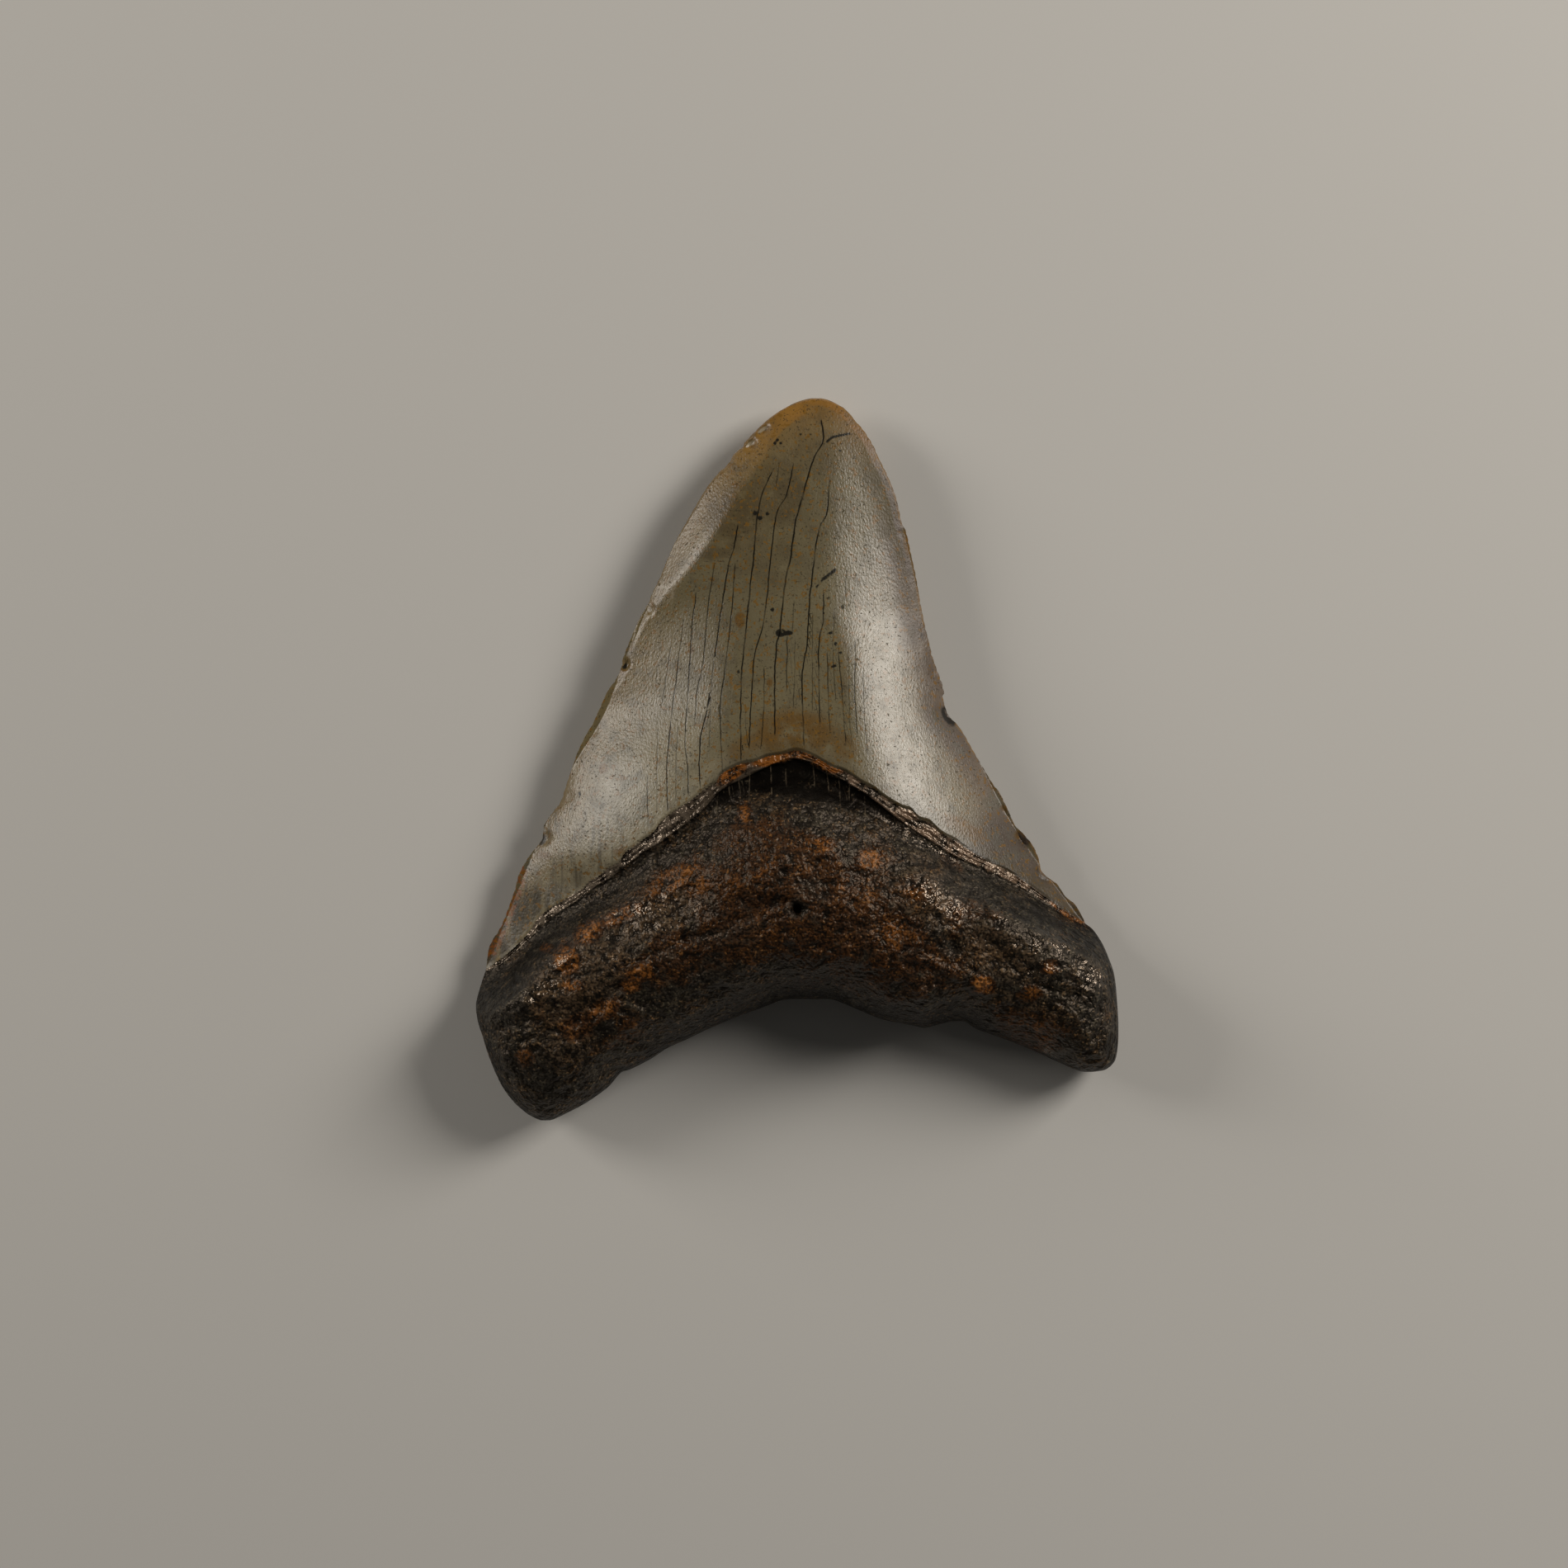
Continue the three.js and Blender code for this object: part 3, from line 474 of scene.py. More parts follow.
# %% [markdown]
# ## Fine relief
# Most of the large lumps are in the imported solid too. What a finger would feel besides them is only
# here: grains and pits of weathered bone, low ridges that follow the root's sweep, and chips out of
# the cutting edges. All of it moves the mesh itself, so it shows in profile and in its own shadow.

# %% Noise, pits and chips
CHIPS = [  # place in pixels, radius and depth in millimetres
    ((924, 520), 0.9, 0.45), ((909, 538), 0.8, 0.5), ((805, 720), 1.2, 0.08),
    ((757, 805), 0.7, 0.55), ((659, 1015), 0.9, 0.4), ((1148, 862), 1.1, 0.8),
    ((1155, 873), 1.0, 0.5), ((1216, 985), 0.8, 0.25), ((1240, 1016), 1.1, 0.5),
    ((1264, 1060), 1.1, 0.6), ((1094, 646), 0.6, 0.1), ((719, 885), 0.7, 0.12),
    ((688, 965), 0.8, 0.12), ((787, 738), 0.7, 0.3), ((1131, 815), 0.6, 0.12),
]
GRAIN_SIZES = [(6.5, 0.22), (2.3, 0.19), (1.0, 0.12)]  # size and height in millimetres
BONE_PITS = 170
PIT_RADII, PIT_DEPTHS = (0.28, 0.7), (0.08, 0.28)
SWEEP_SIZE, SWEEP_HEIGHT = (7.0, 1.3), 0.1
ENAMEL_WAVE_SIZE, ENAMEL_WAVE_HEIGHT = (4.2, 7.0), 0.03
ROOT_WIDTH_MM, ROOT_DEPTH_MM = 84, 28


def noise_field(points, size, seed):
    """Smooth random lumps about size millimetres across, from about -1 to 1, new for each seed."""
    size = np.broadcast_to(size, 2)
    places = np.column_stack([points / size, np.full(len(points), seed * 7.3)]).tolist()
    return np.array([noise.fractal(place, 1.0, 2.0, 2) for place in places])


def dents(points, places):
    """Sum of round dents, each with its place, radius and depth in millimetres."""
    total = np.zeros(len(points))
    for (px, py), radius, depth in places:
        square = ((points[:, 0] - px) ** 2 + (points[:, 1] - py) ** 2) / radius**2
        near = square < 6
        total[near] -= depth * np.exp(-square[near] * square[near])
    return total


rng = np.random.default_rng(11)
pit_places = [
    ((x, y), radius, depth)
    for x, y, radius, depth in zip(
        rng.uniform(-42, 42, BONE_PITS), rng.uniform(-46, -8, BONE_PITS),
        rng.uniform(*PIT_RADII, BONE_PITS), rng.uniform(*PIT_DEPTHS, BONE_PITS),
    )
]
chip_places = [(tuple(to_mm(place)), radius, depth) for place, radius, depth in CHIPS]


def bone_relief(points, across, down, seed):
    along_root = np.column_stack([across * ROOT_WIDTH_MM, down * ROOT_DEPTH_MM])
    total = SWEEP_HEIGHT * noise_field(along_root, SWEEP_SIZE, seed) + dents(points, pit_places)
    for number, (size, height) in enumerate(GRAIN_SIZES):
        total += height * noise_field(points, size, seed + 1 + number)
    return total


def enamel_relief(points, seed):
    return ENAMEL_WAVE_HEIGHT * noise_field(points, ENAMEL_WAVE_SIZE, seed)


print("pits in the bone:", len(pit_places), "chips:", len(chip_places))

# %% [markdown]
# ## The grid
# Each face is a grid primitive whose rows run across the tooth and whose columns run from the tip
# to the foot. A grid bent to its four borders keeps its rows along the enamel's rim, so the step
# there stays crisp. Rows and columns crowd towards the outline, where the surface turns over.

# %% Grid sizes
COLUMNS = 212
SERRATIONS = 66
ROWS_PER_SERRATION = 3
CROWN_ROWS = SERRATIONS * ROWS_PER_SERRATION
LEDGE_ROWS = 2
NECK_ROWS = 8
ROOT_ROWS = 112
ROWS = CROWN_ROWS + LEDGE_ROWS + NECK_ROWS + LEDGE_ROWS + ROOT_ROWS
EVEN_PART = 0.12
CROWDED_SIDES, CROWDED_FOOT = 0.07, 0.16
CHIP_ROWS = 14
CHIP_REACH = 0.3


def crowded(count, end_share, both_ends=True):
    """Shares from 0 to 1 whose spacing grows from a little at the ends."""
    q = np.linspace(0, 1, count + 1)
    t = np.minimum(q, 1 - q) if both_ends else 1 - q
    half = 0.5 if both_ends else 1.0
    rate = half / (end_share**2 + 2 * end_share * (half - end_share))
    share = np.where(t < end_share, rate * t**2, rate * end_share * (2 * t - end_share))
    share = blend(share, t, EVEN_PART)
    if not both_ends:
        return 1 - share
    return np.where(q <= 0.5, share, 1 - share)


def filled_patch(top, foot, left, right, across, down):
    """Points of a patch that meets all four of its borders."""
    across = across[None, :, None]
    down = down[:, None, None]
    sides = blend(left[:, None, :], right[:, None, :], across)
    ends = blend(top[None], foot[None], down)
    corners = blend(blend(top[0], top[-1], across), blend(foot[0], foot[-1], across), down)
    return sides + ends - corners


def smoothed(points):
    """A line without its chips: each point goes to the weighted mean of its neighbours."""
    weights = np.hanning(2 * CHIP_ROWS + 3)[1:-1]
    before = 2 * points[0] - points[CHIP_ROWS:0:-1]
    after = 2 * points[-1] - points[-2:-CHIP_ROWS - 2:-1]
    padded = np.concatenate([before, points, after])
    columns = [np.convolve(column, weights / weights.sum(), mode="valid") for column in padded.T]
    return np.stack(columns, axis=-1)


def crown_patch(enamel, across):
    """The patch is made between smoothed borders; their offsets are added and soon fade inwards."""
    down = np.linspace(0, 1, CROWN_ROWS + 1)
    left, right = at_share(left_edge, down), at_share(right_edge, down)
    whole_left, whole_right, whole_rim = smoothed(left), smoothed(right), smoothed(enamel)
    tip = at_share(smooth_line(TIP), across)
    crown = filled_patch(tip, whole_rim, whole_left, whole_right, across, down)
    for offset, distance in ((left - whole_left, across), (right - whole_right, 1 - across)):
        crown += offset[:, None] * (np.clip(1 - distance / CHIP_REACH, 0, 1) ** 2)[None, :, None]
    fade = np.clip(1 - (1 - down) / CHIP_REACH, 0, 1) ** 2
    return crown + (enamel - whole_rim)[None] * fade[:, None, None]


def ledge_under(rim):
    """The foot of the little step under a rim; it runs out at both ends."""
    foot = rim - np.array([0, LEDGE_WIDTH])
    foot[[0, -1]] = rim[[0, -1]]
    return foot


def face_grid(enamel_rim, neck_rim):
    """Places in plan, share of the root's length and layer number for every point of a face.

    The layer is 2 on the enamel, 1 on the neck band and 0 on the root.
    """
    across = crowded(COLUMNS, CROWDED_SIDES)
    enamel, neck, foot = (
        at_share(smooth_line(line), across) for line in (enamel_rim, neck_rim, ROOT_FOOT)
    )
    root_down = crowded(ROOT_ROWS, CROWDED_FOOT, both_ends=False)[1:]
    sides = (at_share(smooth_line(side), root_down) for side in (LEFT_LOBE_SIDE, RIGHT_LOBE_SIDE))
    root = filled_patch(neck, foot, *sides, across, root_down)
    root[:, 1:-1, 1] -= LEDGE_WIDTH * (1 - root_down[:, None]) ** 6
    plan = [crown_patch(enamel, across)]
    layer = [np.full(CROWN_ROWS + 1, 2.0)]
    down = [np.zeros(CROWN_ROWS + 1)]
    for start, end, rows, first, last in (
        (enamel, ledge_under(enamel), LEDGE_ROWS, 2, 1),
        (ledge_under(enamel), neck, NECK_ROWS, 1, 1),
        (neck, ledge_under(neck), LEDGE_ROWS, 1, 0),
    ):
        share = np.linspace(0, 1, rows + 1)[1:]
        plan.append(blend(start[None], end[None], share[:, None, None]))
        layer.append(blend(first, last, share))
        down.append(np.full(rows, NECK_BAND_SHARE))
    plan.append(root)
    layer.append(np.zeros(ROOT_ROWS))
    down.append(blend(NECK_BAND_SHARE, 1, root_down))
    return np.concatenate(plan), across, np.concatenate(down), np.concatenate(layer)


print("grid of", ROWS, "rows and", COLUMNS, "columns for each face")

# %% [markdown]
# ## Worn serrations
# The cutting edge of such a tooth is a fine saw of about nine teeth to the centimetre, here worn
# soft by the sea. Every third row is pulled in a little, and the pull fades within a millimetre.
# Both faces are pulled the same way, so that they still meet in one edge.

# %% The saw edge
SERRATION_DEPTH = 0.11
SERRATION_REACH = 0.4
SERRATION_FREE_ROWS = 6
serration_depths = SERRATION_DEPTH * rng.uniform(0.2, 1.0, size=(CROWN_ROWS + 1, 2))
serration_depths[np.arange(CROWN_ROWS + 1) % ROWS_PER_SERRATION != 1] = 0
serration_depths[:SERRATION_FREE_ROWS] = 0
serration_depths[-SERRATION_FREE_ROWS:] = 0


def notch_edges(plan, inset):
    """Moves grid points near a cutting edge towards the other edge on the notch rows."""
    rows = CROWN_ROWS + 1
    crown = plan[:rows]
    side = np.where(np.arange(COLUMNS + 1) < COLUMNS / 2, 0, 1)
    inward = crown[:, np.where(side == 0, COLUMNS, 0)] - crown
    inward /= np.maximum(np.linalg.norm(inward, axis=-1, keepdims=True), 1e-6)
    depth = serration_depths[:, side] * np.exp(-inset[:rows] / SERRATION_REACH)
    plan[:rows] = crown + inward * depth[..., None]


print("notches in each edge:", np.count_nonzero(serration_depths[:, 0]))

# %% [markdown]
# ## Heights on the grid
# Crown and root heights are blended under the neck, the steps of the two old layers are added, and
# the fine relief fades out at the outline so that both faces meet on one seam.

# %% Height of each face
NECK_RIDGES, NECK_RIDGE_HEIGHT = 2.0, 0.2
NECK_RIDGE_BEND, NECK_RIDGE_BEND_SIZE, NECK_RIDGE_BREAK_SIZE = 0.35, 5.0, (2.2, 1.6)
SMOOTH_NECK_PART, SMOOTH_NECK_END, SMOOTH_NECK_FADE = 0.45, 0.1, 0.15
OUTER_GRAIN_PART = 0.6
OUTER_BONE_LIFT, OUTER_ENAMEL_LIFT = 0.2, 0.05
LUMPS_FADE, GRAIN_FADE, WAVE_FADE, RIDGES_FADE, CHIPS_FADE = 3, 2, 3, 1.5, 0.8  # millimetres


def grid_facts(enamel_rim, neck_rim):
    plan, across, down, layer = face_grid(enamel_rim, neck_rim)
    points = plan.reshape(-1, 2)
    return (
        plan, points, distance_to_line(OUTLINE, points),
        np.broadcast_to(across, plan.shape[:2]).ravel(),
        np.repeat(down, COLUMNS + 1), np.repeat(layer, COLUMNS + 1),
    )


def finished_face(plan, height, inset, across, down):
    """Sets the seam's height, cuts the saw notches and keeps to the solid's box."""
    shape = plan.shape[:2]
    seam = np.ones(shape, dtype=bool)
    seam[1:-1, 1:-1] = False
    height = np.where(seam.ravel(), seam_height(plan.reshape(-1, 2)[:, 1], across, down), height)
    notch_edges(plan, inset.reshape(shape))
    points = np.column_stack([plan.reshape(-1, 2), height])
    outside = (points < solid_low - 1e-3) | (points > solid_high + 1e-3)
    print("cut to the box:", np.sum(outside), "values")
    return np.clip(points, solid_low, solid_high)


def neck_ridges(points, layer):
    """Two or three broken ridges that run along the neck band, the edges of its old layers."""
    rows = np.repeat(np.arange(ROWS + 1), COLUMNS + 1)
    row_share = (rows - CROWN_ROWS - LEDGE_ROWS) / NECK_ROWS
    bend = NECK_RIDGE_BEND * noise_field(points, NECK_RIDGE_BEND_SIZE, 81)
    broken = ease(0.5 + 0.9 * noise_field(points, NECK_RIDGE_BREAK_SIZE, 82))
    wave = np.cos(2 * math.pi * (NECK_RIDGES * row_share + bend))
    return NECK_RIDGE_HEIGHT * wave * broken * (layer == 1)


def inner_face():
    plan, points, inset, across, down, layer = grid_facts(ENAMEL_RIM, NECK_RIM)
    step = NECK_BAND_STEP * np.clip(layer, 0, 1)
    step += at_station(ENAMEL_STEP, across) * np.clip(layer - 1, 0, 1)
    share = ease(down / NECK_BLEND)
    x, y = points.T
    crown = crown_inner_height(x, y, inset, step)
    height = blend(crown, root_inner_height(across, down, inset), share)
    height += (slow_lumps(x, y) + feature_height(points)) * ease(inset / LUMPS_FADE) * share
    height += bourlette_dip(across, down) * np.clip(inset / ENAMEL_EDGE_WIDTH, 0, 1)
    height += neck_ridges(points, layer) * ease(inset / RIDGES_FADE)
    rough_part = blend(SMOOTH_NECK_PART, 1, ease((down - SMOOTH_NECK_END) / SMOOTH_NECK_FADE))
    on_bone = np.where(layer < 2, rough_part, 0)
    height += bone_relief(points, across, down, 3) * on_bone * ease(inset / GRAIN_FADE)
    height += enamel_relief(points, 20) * (layer == 2) * ease(inset / WAVE_FADE)
    height += dents(points, chip_places) * np.clip(inset / CHIPS_FADE, 0, 1)
    return finished_face(plan, height, inset, across, down)


def outer_face():
    plan, points, inset, across, down, layer = grid_facts(OUTER_ENAMEL_RIM, OUTER_NECK_RIM)
    recess = np.interp(layer, [0, 1, 2], [OUTER_NECK_LIFT, OUTER_NECK_LIFT, 0])
    rim = np.clip(inset / ENAMEL_EDGE_WIDTH, 0, 1)
    crown = np.maximum(0, crown_outer_height(*points.T, inset)) + recess * rim
    root = root_outer_height(across, down, inset)
    height = np.maximum(0, blend(crown, root, ease(down / NECK_BLEND)))
    grain = OUTER_GRAIN_PART * (bone_relief(points, across, down, 40) + OUTER_BONE_LIFT)
    height += grain * (layer < 1) * ease(inset / GRAIN_FADE)
    wave = enamel_relief(points, 60) + OUTER_ENAMEL_LIFT
    height += wave * (layer == 2) * ease(inset / WAVE_FADE)
    return finished_face(plan, np.maximum(0, height), inset, across, down)


inner_points = inner_face()
outer_points = outer_face()
print("inner face:", inner_points.min(axis=0).round(2), "to", inner_points.max(axis=0).round(2))

# %% [markdown]
# ## From grids to one closed body
# Two grid primitives are added and every vertex is moved to its place. Each vertex also keeps the
# row it came from, which tells enamel from root later on.

# %% Shape a grid primitive
OUTER_KEPT_SHARE = 0.4
SEAM_RINGS_KEPT = 4


def add_face_grid(name, points, inner):
    """A sheet with its vertices at the given points, and a group for those far from the seam."""
    bpy.ops.object.select_all(action="DESELECT")
    bpy.ops.mesh.primitive_grid_add(x_subdivisions=COLUMNS, y_subdivisions=ROWS, size=1)
    sheet = bpy.context.object
    sheet.name = name
    mesh = sheet.data
    flat = np.empty(len(mesh.vertices) * 3)
    mesh.vertices.foreach_get("co", flat)
    flat = flat.reshape(-1, 3)
    column = np.rint((flat[:, 0] + 0.5) * COLUMNS).astype(int)
    row = np.rint((0.5 - flat[:, 1]) * ROWS).astype(int)
    mesh.vertices.foreach_set("co", (points[row * (COLUMNS + 1) + column] * 0.001).ravel())
    for key, values in (("grid_row", row), ("inner_side", np.full(len(row), inner))):
        attribute = mesh.attributes.new(key, "FLOAT", "POINT")
        attribute.data.foreach_set("value", values.astype(np.float32))
    from_seam = np.minimum(np.minimum(row, ROWS - row), np.minimum(column, COLUMNS - column))
    group = sheet.vertex_groups.new(name="middle")
    group.add(np.flatnonzero(from_seam > SEAM_RINGS_KEPT).tolist(), 1.0, "REPLACE")
    print(name, "has", len(mesh.polygons), "faces")
    return sheet


inner_sheet = add_face_grid("inner_sheet", inner_points, inner=True)
outer_sheet = add_face_grid("outer_sheet", outer_points, inner=False)

# %% [markdown]
# The outer face is seen less and is nearly flat, so a Decimate modifier thins its middle and leaves
# the rings next to the seam alone. Its faces are flipped, because it looks down.

# %% Thin the outer face and turn it over
thin = outer_sheet.modifiers.new("thin", "DECIMATE")
thin.ratio = OUTER_KEPT_SHARE
thin.vertex_group = "middle"
bpy.ops.object.modifier_apply(modifier=thin.name)
outer_sheet.data.flip_normals()
print("outer face thinned to", len(outer_sheet.data.polygons), "faces")

# %% [markdown]
# Join makes one mesh of the two sheets. Merge by Distance then closes the seam; only the open
# borders are selected for it, so that it can't weld the thin cutting edge shut.

# %% Join and close the seam
SEAM_GAP = 1e-6
bpy.ops.object.select_all(action="DESELECT")
outer_sheet.select_set(True)
inner_sheet.select_set(True)
bpy.context.view_layer.objects.active = inner_sheet
bpy.ops.object.join()
tooth = bpy.context.object
tooth.name = "tooth_body"
tooth.data.name = "tooth_body"
tooth.vertex_groups.clear()
bpy.ops.object.mode_set(mode="EDIT")
bpy.ops.mesh.select_all(action="DESELECT")
bpy.ops.mesh.select_non_manifold()
bpy.ops.mesh.remove_doubles(threshold=SEAM_GAP)
bpy.ops.mesh.select_all(action="SELECT")
bpy.ops.mesh.quads_convert_to_tris(quad_method="SHORTEST_DIAGONAL")
bpy.ops.object.mode_set(mode="OBJECT")
bpy.ops.object.shade_smooth()
mesh = tooth.data
edge_uses = Counter(key for polygon in mesh.polygons for key in polygon.edge_keys)
print("closed body:", set(edge_uses.values()) == {2}, "with", len(mesh.polygons), "triangles")

# %% [markdown]
# ## Where each colour goes
# Stains, cracks and rust sit where the sea bed put them, so their places are measured along the
# surface and kept on the mesh as named attributes, one number for each vertex. The materials read
# these numbers and break their borders up with noise.

# %% Read the finished mesh back
def read_all(collection, key, size=1):
    """One property of every item of a collection, as an array with size numbers in each row."""
    values = np.empty(len(collection) * size)
    collection.foreach_get(key, values)
    return values.reshape(-1, size) if size > 1 else values


vertex_places = read_all(mesh.vertices, "co", 3)
vertex_places[:, 2] = np.maximum(vertex_places[:, 2], 0)
mesh.vertices.foreach_set("co", vertex_places.ravel())
plan_places = vertex_places[:, :2] * 1000
grid_rows = read_all(mesh.attributes["grid_row"].data, "value")
inner_side = read_all(mesh.attributes["inner_side"].data, "value")


def keep(name, values):
    attribute = mesh.attributes.get(name) or mesh.attributes.new(name, "FLOAT", "POINT")
    attribute.data.foreach_set("value", np.asarray(values, dtype=np.float32))


def height_over_line(pixels, points):
    """Signed distance from a line that crosses the tooth, positive on the tip's side."""
    line = smooth_line(pixels, 4)
    above = points[:, 1] > np.interp(points[:, 0], line[:, 0], line[:, 1])
    return np.where(above, 1, -1) * distance_to_line(line, points)


on_inner = inner_side > 0.5
over_rim = np.where(
    on_inner, height_over_line(ENAMEL_RIM, plan_places),
    height_over_line(OUTER_ENAMEL_RIM, plan_places),
)
keep("over_rim", over_rim)
keep("inset", distance_to_line(OUTLINE, plan_places))
print("enamel reaches", over_rim.max().round(1), "mm over its rim")

# %% [markdown]
# ## Cracks in the enamel
# Enamel dries and shrinks over millions of years and splits into fine upright cracks. For every
# vertex the nearest crack's offset to the side is kept. The offset changes evenly across a crack,
# so the material can draw a line that is finer than the mesh.

# %% Cracks, and the pale veins under the neck
CRACKS = [  # strength, points from top to foot in pixels
    (1.0, [(995, 510), (997, 523), (997, 536), (986, 556), (979, 579), (970, 611), (963, 638),
        (958, 676), (952, 704), (945, 763), (941, 784), (939, 820), (939, 890)]),
    (0.75, [(935, 573), (923, 602), (917, 632), (914, 668), (908, 725), (904, 765), (901, 797),
        (898, 839), (898, 922)]),
    (0.6, [(961, 563), (954, 598), (942, 621), (936, 657), (932, 699), (925, 757), (915, 793),
        (911, 839), (908, 907)]),
    (0.35, [(945, 561), (939, 594)]),
    (0.8, [(1005, 582), (1002, 622), (992, 642), (986, 685), (982, 716), (978, 778), (972, 824),
        (974, 903)]),
    (0.6, [(894, 638), (889, 667), (883, 686), (874, 741), (870, 772), (864, 818), (857, 862),
        (850, 892), (848, 927), (850, 956)]),
    (0.5, [(891, 685), (887, 742), (883, 776), (878, 820), (873, 860), (876, 934)]),
    (0.45, [(866, 684), (859, 730), (855, 772), (852, 808), (845, 839), (843, 883)]),
    (0.5, [(844, 719), (839, 759), (836, 808), (834, 843), (831, 898), (834, 927), (835, 963)]),
    (0.5, [(828, 753), (826, 774), (820, 824), (816, 852), (811, 900), (809, 940), (810, 982)]),
    (0.35, [(813, 784), (808, 820), (801, 862)]),
    (0.3, [(797, 810), (794, 837)]),
    (0.4, [(785, 940), (786, 992)]),
    (0.4, [(962, 730), (960, 764)]),
    (0.45, [(954, 772), (953, 839)]),
    (0.4, [(963, 776), (963, 816), (961, 858)]),
    (0.6, [(998, 719), (997, 753), (992, 782), (992, 845), (993, 877)]),
    (0.45, [(1002, 791), (1003, 839), (1005, 887)]),
    (0.45, [(1015, 782), (1017, 810), (1021, 858), (1024, 901)]),
    (0.45, [(1036, 778), (1035, 839), (1038, 890)]),
    (0.3, [(1010, 742), (1009, 790), (1012, 850)]),
    (0.3, [(1027, 790), (1028, 850), (1031, 905)]),
    (0.3, [(1045, 812), (1046, 860), (1050, 912)]),
    (0.3, [(985, 745), (984, 800), (984, 862)]),
    (0.3, [(865, 800), (862, 850), (860, 905)]),
    (0.3, [(822, 880), (820, 930), (820, 968)]),
    (0.3, [(798, 885), (797, 935), (797, 985)]),
    (0.45, [(926, 810), (926, 854), (922, 907)]),
    (0.3, [(1026, 690), (1023, 728)]),
]
OUTER_CRACKS = [
    (0.7, [(1010, 560), (1002, 700), (1008, 860), (1000, 1010)]),
    (0.5, [(960, 600), (948, 760), (944, 900), (930, 1010)]),
    (0.5, [(900, 660), (880, 820), (868, 940), (850, 1025)]),
    (0.4, [(1050, 700), (1062, 840), (1076, 960), (1090, 1020)]),
    (0.35, [(820, 800), (800, 900), (784, 1000)]),
]
VEINS = [
    (0.4, [(871, 955), (869, 985)]), (0.6, [(884, 952), (887, 996)]),
    (0.35, [(895, 942), (898, 962)]), (0.5, [(909, 936), (908, 972)]),
    (0.7, [(934, 928), (936, 975)]), (0.35, [(952, 930), (953, 952)]),
    (0.5, [(985, 926), (987, 952)]), (0.6, [(1001, 930), (1004, 958)]),
    (0.5, [(1016, 940), (1018, 982)]), (0.4, [(1029, 950), (1028, 972)]),
    (0.55, [(1046, 958), (1048, 988)]), (0.3, [(1063, 968), (1065, 985)]),
    (0.4, [(855, 968), (852, 1002)]), (0.3, [(1082, 985), (1085, 1012)]),
]
LINE_FADE_MM = 0.7
LINE_REACH_MM = 0.55
NO_LINE_NEAR_MM = 9.0


def nearest_line(lines, points):
    """Offset to the side of the nearest line in millimetres, and that line's strength there."""
    offset = np.full(len(points), NO_LINE_NEAR_MM)
    strength = np.zeros(len(points))
    x, y = points.T
    for power, pixels in lines:
        line = smooth_line(pixels)[::-1]
        gap = x - np.interp(y, line[:, 1], line[:, 0])
        from_foot, from_top = (y - line[0, 1]) / LINE_FADE_MM, (line[-1, 1] - y) / LINE_FADE_MM
        ends = ease(from_foot + 0.5) * ease(from_top + 0.5)
        nearer = (ends > 0) & (np.abs(gap) < np.abs(offset))
        offset[nearer] = gap[nearer]
        strength[nearer] = (power * ends)[nearer]
    return offset, strength * np.clip(1.6 - 1.6 * np.abs(offset) / LINE_REACH_MM, 0, 1)


inner_lines = nearest_line(CRACKS, plan_places)
outer_lines = nearest_line(OUTER_CRACKS, plan_places)
for name, inner, outer in zip(("crack_offset", "crack_strength"), inner_lines, outer_lines):
    keep(name, np.where(on_inner, inner, outer))
vein_offset, vein_strength = nearest_line(VEINS, plan_places)
keep("vein_offset", vein_offset)
keep("vein_strength", vein_strength * on_inner)
print("cracks:", len(CRACKS), "inside,", len(OUTER_CRACKS), "outside; veins:", len(VEINS))

# %% [markdown]
# ## Stains and rust
# Iron in the sea bed left ochre on the enamel and rust on the root; carbon left it black. Each
# patch is a soft oval with its centre, its half sizes in millimetres, its turn and its strength.

# %% Painted patches
OCHRE_PATCHES = [
    ((962, 890), 5.6, 3.2, 0, 1.0), ((905, 905), 3.0, 1.6, 25, 0.7),
    ((1020, 905), 2.6, 1.8, -25, 0.7), ((992, 497), 3.0, 2.0, 0, 0.5),
    ((960, 520), 4.0, 1.6, 30, 0.4), ((897, 752), 0.6, 0.95, 0, 1.6),
    ((838, 788), 0.4, 0.5, 0, 1.3), ((732, 931), 0.6, 0.6, 0, 1.4),
    ((755, 943), 0.4, 0.4, 0, 0.9), ((755, 814), 0.5, 0.5, 0, 1.2),
    ((1203, 952), 0.45, 0.7, 30, 1.3), ((1217, 980), 0.4, 0.6, 30, 0.9),
    ((1155, 872), 0.8, 0.6, -30, 0.9), ((892, 589), 0.45, 0.4, 0, 0.9),
    ((844, 622), 0.5, 0.4, 0, 0.9), ((838, 643), 0.5, 0.4, 0, 0.9),
    ((752, 1031), 0.9, 0.7, 0, 0.9), ((1275, 1068), 0.8, 0.6, -30, 0.9),
    ((660, 1036), 1.3, 0.5, 0, 1.0), ((1165, 1002), 3.4, 1.2, -28, 0.8),
    ((1099, 660), 0.5, 1.8, 10, 0.8), ((933, 828), 0.4, 0.5, 0, 1.1),
    ((1236, 1012), 0.9, 0.7, 0, 0.7), ((1022, 800), 0.8, 6.0, 0, 0.35),
]
